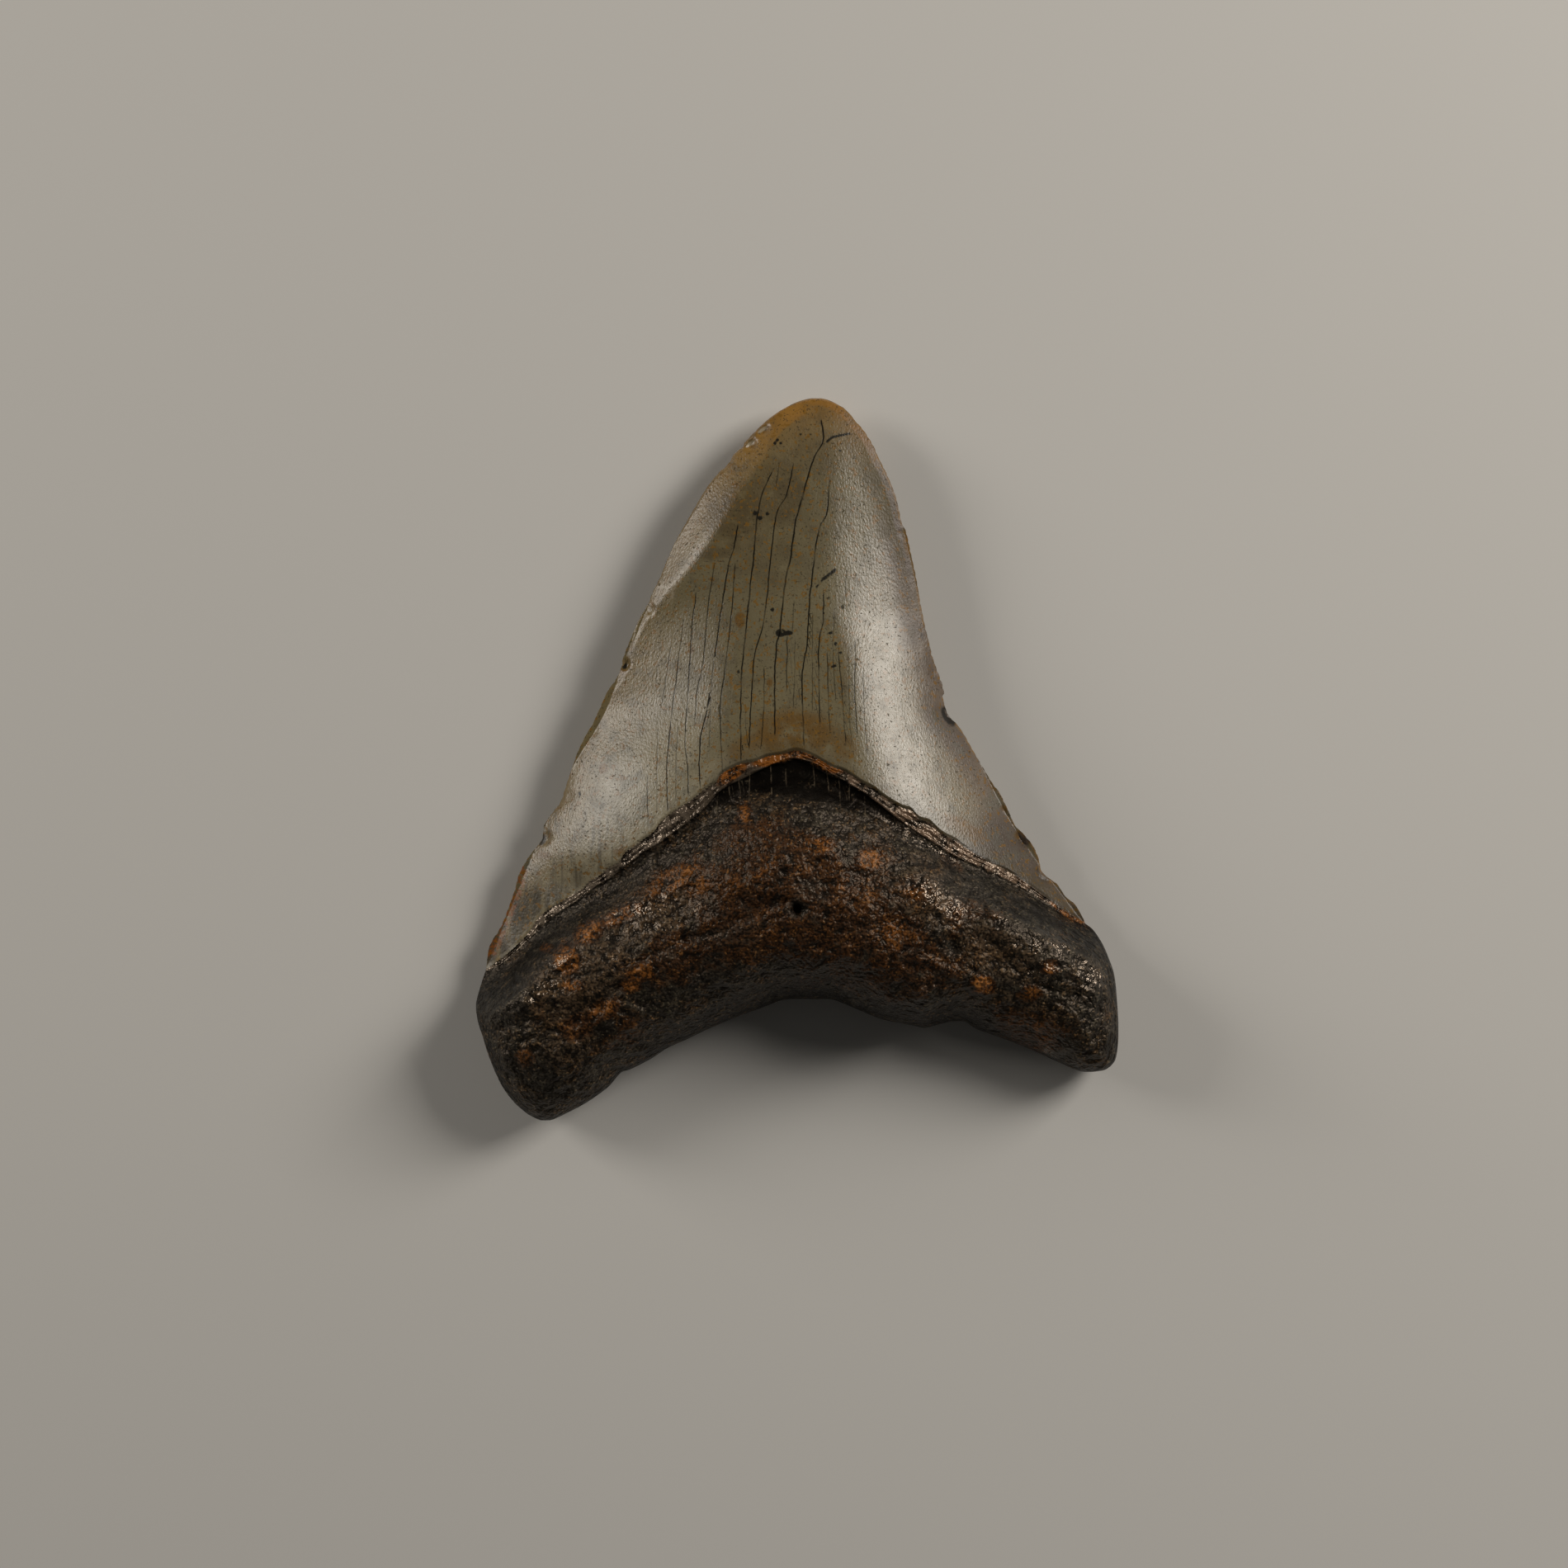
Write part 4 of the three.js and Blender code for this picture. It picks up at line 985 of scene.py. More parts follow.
BROWN_PATCHES = [
    ((893, 622), 4.6, 4.0, 40, 1.0), ((945, 600), 4.2, 5.0, 10, 0.85),
    ((985, 560), 4.5, 4.0, 0, 0.6), ((873, 668), 3.6, 1.3, 10, 0.8),
    ((925, 670), 5.5, 6.5, 0, 0.6), ((965, 640), 5.0, 8.5, 0, 0.5),
    ((1005, 600), 2.6, 7.0, 8, 0.45), ((900, 760), 6.0, 12.0, 0, 0.28),
    ((1090, 700), 2.5, 7.0, 12, 0.2), ((1097, 770), 2.0, 3.0, 12, 0.35),
    ((700, 1075), 3.0, 1.5, 30, 0.5), ((645, 1095), 3.0, 3.0, 0, 0.45),
    ((930, 512), 2.6, 1.5, 35, 0.5), ((855, 612), 1.5, 4.0, -35, 0.45),
    ((980, 840), 7.0, 8.0, 0, 0.22),
]
DARK_SPOTS = [
    ((946, 768), 0.65, 0.5, 0, 1.2), ((955, 768), 0.6, 0.28, 0, 1.2),
    ((915, 623), 0.35, 0.3, 0, 0.9), ((921, 629), 0.35, 0.3, 0, 0.9),
    ((930, 624), 0.3, 0.25, 0, 0.8), ((942, 534), 0.25, 0.25, 0, 0.8),
    ((939, 538), 0.25, 0.25, 0, 0.8), ((946, 538), 0.25, 0.25, 0, 0.7),
    ((970, 527), 0.22, 0.22, 0, 0.7), ((982, 527), 0.22, 0.22, 0, 0.6),
    ((1018, 547), 0.25, 0.22, 0, 0.7), ((936, 740), 0.25, 0.3, 0, 0.9),
    ((1006, 768), 0.34, 0.2, 0, 1.0), ((1010, 808), 0.36, 0.22, 20, 1.0),
    ((998, 744), 0.2, 0.24, 0, 0.8), ((1021, 736), 0.34, 0.22, 50, 1.0),
    ((1185, 947), 0.3, 0.3, 0, 0.8), ((703, 962), 0.25, 0.45, 0, 0.7),
    ((757, 807), 0.35, 0.45, 0, 0.9), ((895, 815), 0.3, 0.3, 0, 0.7),
    ((1117, 770), 0.25, 0.8, 0, 0.5), ((657, 1018), 0.6, 1.0, -30, 0.6),
    ((1149, 868), 0.8, 1.6, 30, 0.75), ((1172, 928), 2.2, 3.2, 30, 0.22),
    ((1003, 726), 0.3, 0.2, 0, 0.9), ((1012, 781), 0.22, 0.3, 0, 0.9),
    ((1018, 792), 0.3, 0.2, 0, 0.8), ((1180, 1085), 0.5, 0.4, 0, 0.7),
    ((1262, 1062), 0.7, 1.2, 30, 0.4), ((928, 782), 0.25, 0.2, 0, 0.6),
]
DARK_LINES = [  # strength, half width in millimetres, points in pixels
    (0.75, 0.2, [(1002, 536), (1008, 531), (1015, 529), (1029, 526)]),
    (0.9, 0.24, [(1011, 692), (1004, 698), (997, 703)]), (0.7, 0.18, [(997, 703), (989, 713)]),
    (0.5, 0.28, [(1130, 836), (1142, 836)]),
]
PALE_PATCHES = [
    ((805, 712), 1.2, 0.22, -8, 0.9), ((815, 719), 0.25, 0.8, 0, 0.6),
    ((924, 521), 0.8, 0.25, 35, 0.8), ((910, 538), 0.8, 0.25, 35, 0.8),
    ((668, 1060), 0.3, 1.5, 10, 0.35), ((663, 1056), 0.2, 1.0, 10, 0.3),
    ((713, 880), 0.3, 0.6, -20, 0.5), ((1124, 1000), 1.6, 0.22, -30, 0.6),
]
RUST_PATCHES = [
    ((689, 1162), 1.8, 2.2, 0, 1.0), ((696, 1191), 1.5, 1.0, 0, 0.9),
    ((716, 1129), 2.0, 1.4, 30, 0.9), ((664, 1148), 1.0, 0.7, 0, 0.8),
    ((755, 1108), 3.4, 1.2, 25, 0.8), ((813, 1065), 4.6, 1.8, 30, 0.7),
    ((850, 1075), 2.6, 1.6, 20, 0.7), ((780, 1176), 2.0, 1.2, 20, 0.85),
    ((764, 1192), 1.5, 0.9, 0, 0.8), ((731, 1223), 2.6, 1.3, 40, 0.6),
    ((701, 1243), 2.2, 1.8, 30, 0.6), ((637, 1279), 1.3, 1.1, 0, 0.6),
    ((994, 1024), 2.0, 1.2, 0, 0.7), ((1053, 1041), 2.2, 1.5, 0, 0.8),
    ((1106, 1077), 2.0, 1.8, 0, 0.6), ((1090, 1130), 3.4, 3.0, 0, 0.6),
    ((1188, 1191), 1.5, 1.2, 0, 1.2), ((1244, 1203), 1.8, 1.0, 20, 0.7),
    ((1270, 1170), 1.4, 1.0, 0, 0.7), ((1153, 1047), 2.0, 0.8, -30, 0.5),
    ((903, 985), 1.0, 1.4, 0, 0.8), ((965, 1090), 16.0, 8.0, 0, 0.42),
    ((850, 1150), 10.0, 4.0, 20, 0.35), ((1060, 1160), 11.0, 4.5, -10, 0.4),
    ((1245, 1245), 6.0, 2.4, -20, 0.5), ((930, 1020), 7.0, 3.0, 0, 0.4),
    ((1175, 1110), 5.0, 2.5, -25, 0.35), ((1294, 1106), 2.6, 0.6, -32, 0.9),
    ((888, 937), 2.2, 0.8, 35, 1.0), ((935, 921), 2.4, 0.7, 12, 1.0),
    ((1003, 928), 2.0, 0.8, -20, 1.0), ((975, 914), 2.6, 0.7, 0, 0.6),
    ((760, 1250), 4.0, 2.0, 35, 0.3),
]
# Sooty grey patches, and painted shade: in the pits, the creases, the scoop in the foot and along the
# foot.
SOOT_AND_SHADE_PATCHES = [
    ((610, 1200), 4.0, 8.0, 10, 0.6), ((640, 1320), 6.0, 6.0, 30, 0.45),
    ((680, 1110), 5.0, 1.8, 38, 0.7), ((760, 1070), 6.0, 1.6, 35, 0.6),
    ((1180, 1075), 6.0, 2.2, -28, 0.7), ((1260, 1115), 5.0, 2.2, -30, 0.6),
    ((1320, 1190), 5.0, 7.0, 10, 0.5), ((1130, 1030), 4.0, 1.2, -32, 0.6),
    ((965, 1100), 1.4, 1.2, 0, 1.0), ((1150, 1147), 1.6, 1.2, 0, 0.9),
    ((870, 1130), 4.5, 1.0, 20, 0.5), ((740, 1205), 1.8, 0.7, 50, 0.6),
    ((1185, 1236), 2.6, 1.5, -20, 0.9), ((905, 1120), 3.0, 1.2, 10, 0.45),
    ((965, 1195), 24.0, 2.6, 0, 0.35),
]
TAN_PATCHES = [
    ((705, 1185), 8.0, 4.6, 30, 0.9), ((800, 1105), 7.0, 2.8, 25, 1.0),
    ((1120, 1085), 5.0, 3.4, -25, 0.8), ((1205, 1150), 6.0, 3.2, -30, 0.8),
    ((765, 1085), 6.0, 1.6, 35, 0.7), ((1135, 1055), 5.0, 1.8, -30, 0.6),
    ((1245, 1220), 5.0, 1.6, -25, 0.6), ((690, 1265), 4.0, 3.0, 40, 0.6),
]
RUSTY_CRUST = (1.0, 0.9, [(630, 1056), (624, 1080), (615, 1106), (604, 1130), (594, 1152)])
CORNER_SHADE = [
    ((640, 1098), 3.6, 3.4, 30, 0.8), ((690, 1072), 5.0, 1.6, 35, 0.55),
    ((622, 1128), 3.0, 2.2, 40, 0.7), ((600, 1152), 2.2, 3.0, 40, 0.9),
]
GLOSS_PATCHES = [
    ((655, 1202), 4.6, 1.2, 22, 1.0), ((690, 1160), 2.4, 3.4, 10, 0.9),
    ((770, 1110), 7.5, 2.0, 24, 0.9), ((815, 1108), 4.0, 1.6, 20, 0.9),
    ((701, 1076), 8.0, 0.9, 34, 1.2), ((1135, 1090), 5.0, 2.2, -30, 1.0),
    ((1130, 1030), 8.0, 0.8, -32, 0.9), ((1240, 1090), 6.0, 0.7, -30, 0.8),
    ((655, 1112), 2.4, 0.8, 36, 1.0), ((1205, 1125), 4.2, 2.2, -30, 1.0),
    ((1268, 1150), 3.6, 2.6, -40, 1.0), ((1320, 1180), 2.0, 2.6, 0, 0.9),
    ((1255, 1172), 2.4, 1.6, -50, 1.0), ((1275, 1275), 1.4, 0.6, -30, 0.9),
    ((735, 1150), 2.0, 1.4, 0, 0.6),
]


def patches(places, points):
    """Soft ovals, each full inside half of its size and gone at one and a half times its size."""
    total = np.zeros(len(points))
    for place, half_width, half_height, turn, strength in places:
        gap = points - to_mm(place)
        c, s = math.cos(math.radians(turn)), math.sin(math.radians(turn))
        u = (gap[:, 0] * c + gap[:, 1] * s) / half_width
        v = (gap[:, 1] * c - gap[:, 0] * s) / half_height
        total = np.maximum(total, strength * ease(1.5 - np.hypot(u, v)))
    return total


def strokes(lines, points):
    """Soft lines that fade over their borders as the ovals do."""
    total = np.zeros(len(points))
    for strength, half_width, pixels in lines:
        gap = distance_to_line(smooth_line(pixels), points) / half_width
        total = np.maximum(total, strength * np.clip(1.5 - gap, 0, 1))
    return total


for name, places, outer_part in (
    ("ochre", OCHRE_PATCHES, 0), ("shade", CORNER_SHADE, 0), ("pale", PALE_PATCHES, 0),
    ("tan", TAN_PATCHES, 0), ("brown", BROWN_PATCHES, 0.5), ("rust", RUST_PATCHES, 0.7),
    ("soot", SOOT_AND_SHADE_PATCHES, 1),
):
    keep(name, patches(places, plan_places) * blend(outer_part, 1, on_inner))
keep("crust", strokes([RUSTY_CRUST], plan_places))
spots, scratches = patches(DARK_SPOTS, plan_places), strokes(DARK_LINES, plan_places)
keep("dark", np.maximum(spots, scratches) * on_inner)
print("specks:", len(DARK_SPOTS), "rusty patches:", len(RUST_PATCHES))

# %% [markdown]
# Some finishes follow the form, not the place. The neck band shines more towards its ends, the
# bourlette is soot black below the middle of the rim, and the crown's flat top is painted a darker
# olive than its shoulders, partly stain and partly painted shade. The steep sides of the root are
# painted darker and made matt: painted shade against the light that the floor throws up at them.

# %% Finishes that follow the form
NECK_GLOSS, NECK_GLOSS_FROM, NECK_GLOSS_REACH = (0.35, 0.95), 9, 8
BOURLETTE_START, BOURLETTE_START_REACH, BOURLETTE_END_REACH = 1.1, 0.8, 2.6
BOURLETTE_DEPTH, BOURLETTE_NARROWS = 7.0, 0.3
BOURLETTE_HALF_WIDTH, BOURLETTE_SIDE_REACH = 22, 12
FLAT_FROM, FLAT_REACH, STEEP_FROM, STEEP_REACH = 0.9, 0.075, 0.66, 0.36

from_middle = np.abs(plan_places[:, 0])
first_neck_row = CROWN_ROWS + LEDGE_ROWS
in_neck = (grid_rows >= first_neck_row) & (grid_rows <= first_neck_row + NECK_ROWS) & on_inner
neck_gloss = blend(*NECK_GLOSS, ease((from_middle - NECK_GLOSS_FROM) / NECK_GLOSS_REACH))
keep("neck", in_neck)
polished = patches(GLOSS_PATCHES, plan_places) * on_inner
keep("gloss", np.maximum(polished, in_neck * neck_gloss))
bourlette = ease((-over_rim - BOURLETTE_START) / BOURLETTE_START_REACH)
bourlette *= ease(
    (BOURLETTE_DEPTH - BOURLETTE_NARROWS * from_middle + over_rim) / BOURLETTE_END_REACH
)
bourlette *= ease((BOURLETTE_HALF_WIDTH - from_middle) / BOURLETTE_SIDE_REACH)
keep("bourlette", bourlette * on_inner)
upward = read_all(mesh.vertex_normals, "vector", 3)[:, 2]
# Darker olive on the flat top: partly stain, partly painted shade where it faces away from both
# lamps.
plateau = ease((np.abs(upward) - FLAT_FROM) / FLAT_REACH) * ease(over_rim / 3)
keep("plateau", plateau * on_inner)
# Steep sides of the root: painted shade against the floor's light, and less shine.
keep("steep", ease((STEEP_FROM - upward) / STEEP_REACH) * on_inner)
print("attributes:", sorted(a.name for a in mesh.attributes if a.domain == "POINT"))

# %% [markdown]
# ## Nodes
# One helper adds a node, sets it and links it, so a material reads like a list of steps. Pattern
# sizes are given in millimetres, and colours as the hex codes of a picture. A stained surface is
# a pile of colours: each is laid over the last one where all of its masks are full.

# %% Helpers for materials
EASED = "SMOOTHSTEP"
BUMP_UNIT = 0.001  # bump heights are written in millimetres


def hex_colour(code):
    """A picture's hex colour as the linear colour that light adds up in."""
    values = [int(code[i:i + 2], 16) / 255 for i in (1, 3, 5)]
    return (*[v / 12.92 if v <= 0.04045 else ((v + 0.055) / 1.055) ** 2.4 for v in values], 1.0)


def per_metre(size_mm):
    """How many pattern steps of this size fit in a metre, which is what a Scale socket wants."""
    return 1000 / size_mm


def feed(tree, node, inputs):
    """Gives a node its inputs: numbers, colours, sockets, or nodes that stand for their output."""
    for key, value in inputs.items():
        named = [s for s in node.inputs if s.name == key and s.enabled]
        socket = named[0] if named else node.inputs[key]
        if isinstance(value, bpy.types.Node):
            value = next(s for s in value.outputs if s.enabled)
        if isinstance(value, bpy.types.NodeSocket):
            tree.links.new(value, socket)
        else:
            socket.default_value = value


def add(tree, kind, inputs=None, **settings):
    """Adds a node; settings are its own properties."""
    node = tree.nodes.new("ShaderNode" + kind)
    for key, value in settings.items():
        setattr(node, key, value)
    feed(tree, node, inputs or {})
    return node


def new_material(name, attributes=()):
    """A material's tree, its shader, the place on the object, and the kept numbers to read."""
    material = bpy.data.materials.new(name)
    material.use_nodes = True
    tree = material.node_tree
    place = add(tree, "TexCoord").outputs["Object"]
    read = SimpleNamespace(**{
        key: add(tree, "Attribute", attribute_name=key).outputs["Fac"] for key in attributes
    })
    return material, tree, tree.nodes["Principled BSDF"], place, read


def stained(tree, base, layers):
    """Lays colours over a base; a mask is a socket with its values for nothing and for all."""
    base = hex_colour(base)
    colour = add(tree, "Mix", {"Factor": 0.0, "A": base, "B": base}, data_type="RGBA")
    for code, factor, masks in layers:
        for socket, nothing, all_of_it in masks:
            limits = {"From Min": nothing, "From Max": all_of_it, "To Max": factor}
            factor = add(tree, "MapRange", {"Value": socket, **limits}, interpolation_type=EASED)
        mix = {"Factor": factor, "A": colour, "B": hex_colour(code)}
        colour = add(tree, "Mix", mix, data_type="RGBA")
    return colour


def piled_up(tree, heights):
    """The sum of several patterns, each times its height in millimetres."""
    total = 0.0
    for source, height in heights:
        total = add(tree, "Math", {0: source, 1: height, 2: total}, operation="MULTIPLY_ADD")
    return total


def distance_from_line(tree, offset, wobble):
    """How far a spot lies from a line, with a wobble that keeps the line from looking drawn."""
    shifted = add(tree, "Math", {0: offset, 1: wobble}, operation="ADD")
    return add(tree, "Math", {0: shifted}, operation="ABSOLUTE")


print("#808080 is %.3f of white as light" % hex_colour("#808080")[0])

# %% [markdown]
# ## Fossil enamel
# The crown's enamel is apatite, the mineral of all teeth (IOR about 1.63), polished by the sea and
# stained grey-beige. It shines like satin: a broad highlight that a fine orange-peel grain breaks
# into sparkle. The real grain is finer than a pixel; it is drawn at 0.25 mm so that it shows.
# Margins are tan on the left and purplish grey on the right, where painted shade darkens them as
# well.

# %% Enamel: colour
enamel, tree, surface, place, read = new_material("fossil_enamel_satin", (
    "over_rim", "inset", "ochre", "crust", "brown", "dark", "pale", "shade", "crack_offset",
    "crack_strength", "inner_side", "plateau",
))
where_x, where_y, _ = add(tree, "SeparateXYZ", {0: place}).outputs
long_place, streak_place = (
    add(tree, "Mapping", {"Vector": place, "Scale": (1, shortening, 1)})
    for shortening in (0.6, 0.07)
)
cloud, mottle, peel, pepper, streak, fleck = (
    add(tree, "TexNoise", {
        "Vector": vector, "Scale": per_metre(size), "Detail": detail, "Roughness": roughness,
        "Distortion": distortion,
    })
    for vector, size, detail, roughness, distortion in (
        (place, 9, 3, 0.6, 0), (place, 2.2, 4, 0.65, 0), (long_place, 0.25, 1, 0.5, 0),
        (place, 0.3, 1, 0.5, 0.4), (streak_place, 0.8, 2, 0.5, 0), (place, 0.7, 2, 0.7, 0),
    )
)
near_edge = {"Value": read.inset, "From Min": 5.0, "From Max": 1.4}
margin = add(tree, "MapRange", near_edge, interpolation_type=EASED)
corner = 1.0
for value, start, end in ((where_x, 0.002, 0.009), (where_y, -0.012, 0.006)):
    limits = {"From Min": start, "From Max": end, "To Max": margin}
    margin = add(tree, "MapRange", {"Value": value, **limits})
for value, start, end in ((where_x, 0.019, 0.026), (where_y, -0.004, -0.011)):
    limits = {"From Min": start, "From Max": end, "To Max": corner}
    corner = add(tree, "MapRange", {"Value": value, **limits})
# Right margin and right corner: painted shade in the colour below, and less shine.
dull_shaded_edges = add(tree, "Math", {0: margin, 1: corner}, operation="MAXIMUM")

ENAMEL_LAYERS = [  # colour, amount, masks: socket, its value for nothing and for all
    ("#7a725f", 0.6, [(cloud, 0.44, 0.62)]),  # warm clouds
    ("#6d6349", 0.35, [(streak, 0.5, 0.66)]),  # upright streaks of stain
    ("#ada48a", 0.6, [(read.over_rim, 16.0, 1.5), (where_x, -0.008, -0.014)]),  # paler lower left: painted light where the left lamp's sheen falls
    ("#86734a", 0.75, [(read.inset, 7.5, 1.2), (where_x, 0.004, -0.004)]),  # tan margin on the left
    ("#7b6132", 0.6, [  # ochre along that margin
        (read.inset, 3.0, 0.5), (where_x, -0.002, -0.006), (mottle, 0.36, 0.54),
    ]),
    ("#5c5647", 0.6, [  # grey streaks in the left corner
        (streak, 0.5, 0.64), (where_x, -0.02, -0.026), (where_y, -0.002, -0.01),
    ]),
    ("#7a6b60", 0.7, [  # purplish right margin, darkened too by painted shade
        (read.inset, 6.0, 1.0), (where_x, 0.002, 0.008),
    ]),
    ("#5f534b", 0.7, [(dull_shaded_edges, 0.1, 0.9), (cloud, 0.3, 0.56)]),  # painted shade, right margin and corner
    ("#584d43", 0.8, [(corner, 0.0, 0.8)]),  # dim right corner
    ("#8a6a30", 0.7, [(where_y, 0.022, 0.045), (where_x, 0.003, -0.008)]),  # golden upper left
    ("#a3701c", 0.85, [(where_y, 0.036, 0.049)]),  # golden tip
    ("#6f6648", 0.6, [(read.plateau, 0.1, 0.9)]),  # olive flat top: partly stain, partly painted shade of the flat middle
    ("#5a5039", 0.55, [(mottle, 0.5, 0.68)]),  # brown mottling
    ("#6b6f66", 0.25, [  # cool grey clouds
        (cloud, 0.5, 0.64), (mottle, 0.42, 0.56), (where_y, 0.012, 0.0),
    ]),
    ("#4a3a1c", 0.68, [(read.brown, 0.05, 1.1), (mottle, 0.24, 0.52)]),  # brown stains
    ("#3b3529", 0.8, [(read.shade, 0.1, 1.0), (streak, 0.3, 0.55)]),  # dark left corner
    ("#6b4c18", 0.85, [(read.ochre, 0.1, 1.0), (mottle, 0.25, 0.55)]),  # ochre stains
    ("#8a4c1c", 0.8, [(read.crust, 0.2, 0.8), (fleck, 0.4, 0.56)]),  # rusty crust on the left edge
    ("#7f5a16", 0.75, [(fleck, 0.58, 0.63), (read.inner_side, 0.2, 0.6)]),  # ochre flecks
    ("#4c4020", 0.45, [  # brown line over the rim
        (read.over_rim, 2.2, 0.2), (where_x, -0.022, -0.004),
    ]),
    ("#2e2414", 0.6, [(read.over_rim, 0.25, 0.0), (where_x, -0.018, -0.008)]),  # painted shade under the enamel's rim
    ("#b5a88b", 0.2, [  # painted highlight on the rim's left part, where the enamel's edge catches the light
        (read.over_rim, 0.3, 0.1), (where_x, -0.008, -0.018),
    ]),
    ("#8f6d3e", 0.6, [  # tan right edge
        (read.inset, 0.45, 0.1), (where_x, 0.002, 0.006), (mottle, 0.42, 0.56),
    ]),
    ("#3f392d", 0.6, [(pepper, 0.6, 0.69)]),  # dirty pores
    ("#a89b82", 0.8, [(read.pale, 0.2, 0.9)]),  # fresh chips
    ("#1c1b18", 0.95, [(read.dark, 0.3, 0.65), (mottle, 0.34, 0.46)]),  # black specks
]
colour = stained(tree, "#877c62", ENAMEL_LAYERS)
print("enamel colour in", len(ENAMEL_LAYERS), "layers")

# %% [markdown]
# A crack is dark because light falls into it. It is drawn where the kept offset is near zero, with
# a little wobble, and it is pressed into the surface by the bump as well.

# %% Enamel: cracks, gloss and grain
CRACK_WOBBLE = 0.15  # millimetres to each side
NARROWEST_CRACK, CRACK_WIDENS = 0.08, 0.11

bends = add(tree, "TexNoise", {"Vector": place, "Scale": per_metre(1.6), "Detail": 2})
wobble = {"Value": bends, "To Min": -CRACK_WOBBLE, "To Max": CRACK_WOBBLE}
wobble = add(tree, "MapRange", wobble)
distance = distance_from_line(tree, read.crack_offset, wobble)
strength = read.crack_strength
crack_width = {0: strength, 1: CRACK_WIDENS, 2: NARROWEST_CRACK}
crack_width = add(tree, "Math", crack_width, operation="MULTIPLY_ADD")
near_line = {"Value": distance, "From Min": crack_width, "From Max": 0.02}
crack = add(tree, "MapRange", near_line, interpolation_type=EASED)
gaps = add(tree, "MapRange", {"Value": streak, "From Min": 0.35, "From Max": 0.5, "To Min": 0.45})
depth = add(tree, "Math", {0: strength, 1: 1.8}, operation="MULTIPLY", use_clamp=True)
for factor in (depth, gaps):
    crack = add(tree, "Math", {0: crack, 1: factor}, operation="MULTIPLY")
cracked = {"Factor": crack, "A": colour, "B": hex_colour("#12110d")}

APATITE_IOR = 1.63
GLOSSY, LESS_GLOSSY = 0.3, 0.38
POLISHED, HOLLOW = 0.5, 0.06
pore_limits = {"Value": pepper, "From Min": 0.62, "From Max": 0.74}
pore = add(tree, "MapRange", pore_limits, interpolation_type=EASED)
dull = add(tree, "Math", {0: dull_shaded_edges, 1: 0.75}, operation="MULTIPLY")
hollow = crack
for source in (pore, read.dark, read.shade, dull):
    hollow = add(tree, "Math", {0: hollow, 1: source}, operation="MAXIMUM", use_clamp=True)

ENAMEL_HEIGHTS = [(peel, 0.04), (streak, 0.018), (mottle, 0.01), (crack, -0.01)]  # millimetres
height = piled_up(tree, ENAMEL_HEIGHTS)
feed(tree, surface, {
    "Base Color": add(tree, "Mix", cracked, data_type="RGBA"),
    "Roughness": add(tree, "MapRange", {
        "Value": mottle, "From Min": 0.3, "From Max": 0.7, "To Min": GLOSSY, "To Max": LESS_GLOSSY,
    }),
    "IOR": APATITE_IOR,
    "Specular IOR Level": add(
        tree, "MapRange", {"Value": hollow, "To Min": POLISHED, "To Max": HOLLOW},
    ),
    "Normal": add(tree, "Bump", {"Height": height, "Distance": BUMP_UNIT, "Strength": 1.0}),
})
print("enamel grain and cracks in", len(ENAMEL_HEIGHTS), "heights")

# %% [markdown]
# ## Fossil root
# The root was spongy dentine; minerals filled it and iron and manganese coloured it, black where
# manganese won and rust brown where iron did. Its grain is about 0.4 mm, and the sea polished the
# top of each grain, so it glitters like wet gravel.

# %% Root: colour
bone, tree, surface, place, read = new_material("fossil_root_dentine", (
    "rust", "soot", "tan", "gloss", "bourlette", "vein_offset", "vein_strength", "neck", "steep",
))
where_x = add(tree, "SeparateXYZ", {0: place}).outputs["X"]
other_place = add(tree, "Mapping", {"Vector": place, "Location": (0.31, 0.17, 0.05)})
blotch, speckle, grain, spark, iron, lumps = (
    add(tree, "TexNoise", {
        "Vector": vector, "Scale": per_metre(size), "Detail": detail, "Roughness": roughness,
    })
    for vector, size, detail, roughness in (
        (place, 6, 4, 0.62), (place, 1.3, 4, 0.7), (place, 0.36, 0.6, 0.5),
        (other_place, 0.45, 1, 0.6), (other_place, 3.4, 4, 0.7), (place, 1.3, 2, 0.5),
    )
)
cells = add(tree, "TexVoronoi", {"Vector": place, "Scale": per_metre(0.75), "Randomness": 1.0})
turned = {"Vector": place, "Rotation": (0, 0, 0.3), "Scale": (0.6, 1, 1)}
wrinkle = add(tree, "TexNoise", {
    "Vector": add(tree, "Mapping", turned), "Scale": per_metre(1.8), "Detail": 3, "Roughness": 0.5,
}, noise_type="RIDGED_MULTIFRACTAL")
broken = add(tree, "MapRange", {"Value": iron, "From Min": 0.4, "From Max": 0.56})
broken = add(tree, "Math", {0: broken, 1: read.neck}, operation="MAXIMUM")
polish = add(tree, "Math", {0: read.gloss, 1: broken}, operation="MULTIPLY")
rusty = add(tree, "Math", {0: iron, 1: 1.4, 2: read.rust}, operation="MULTIPLY_ADD")

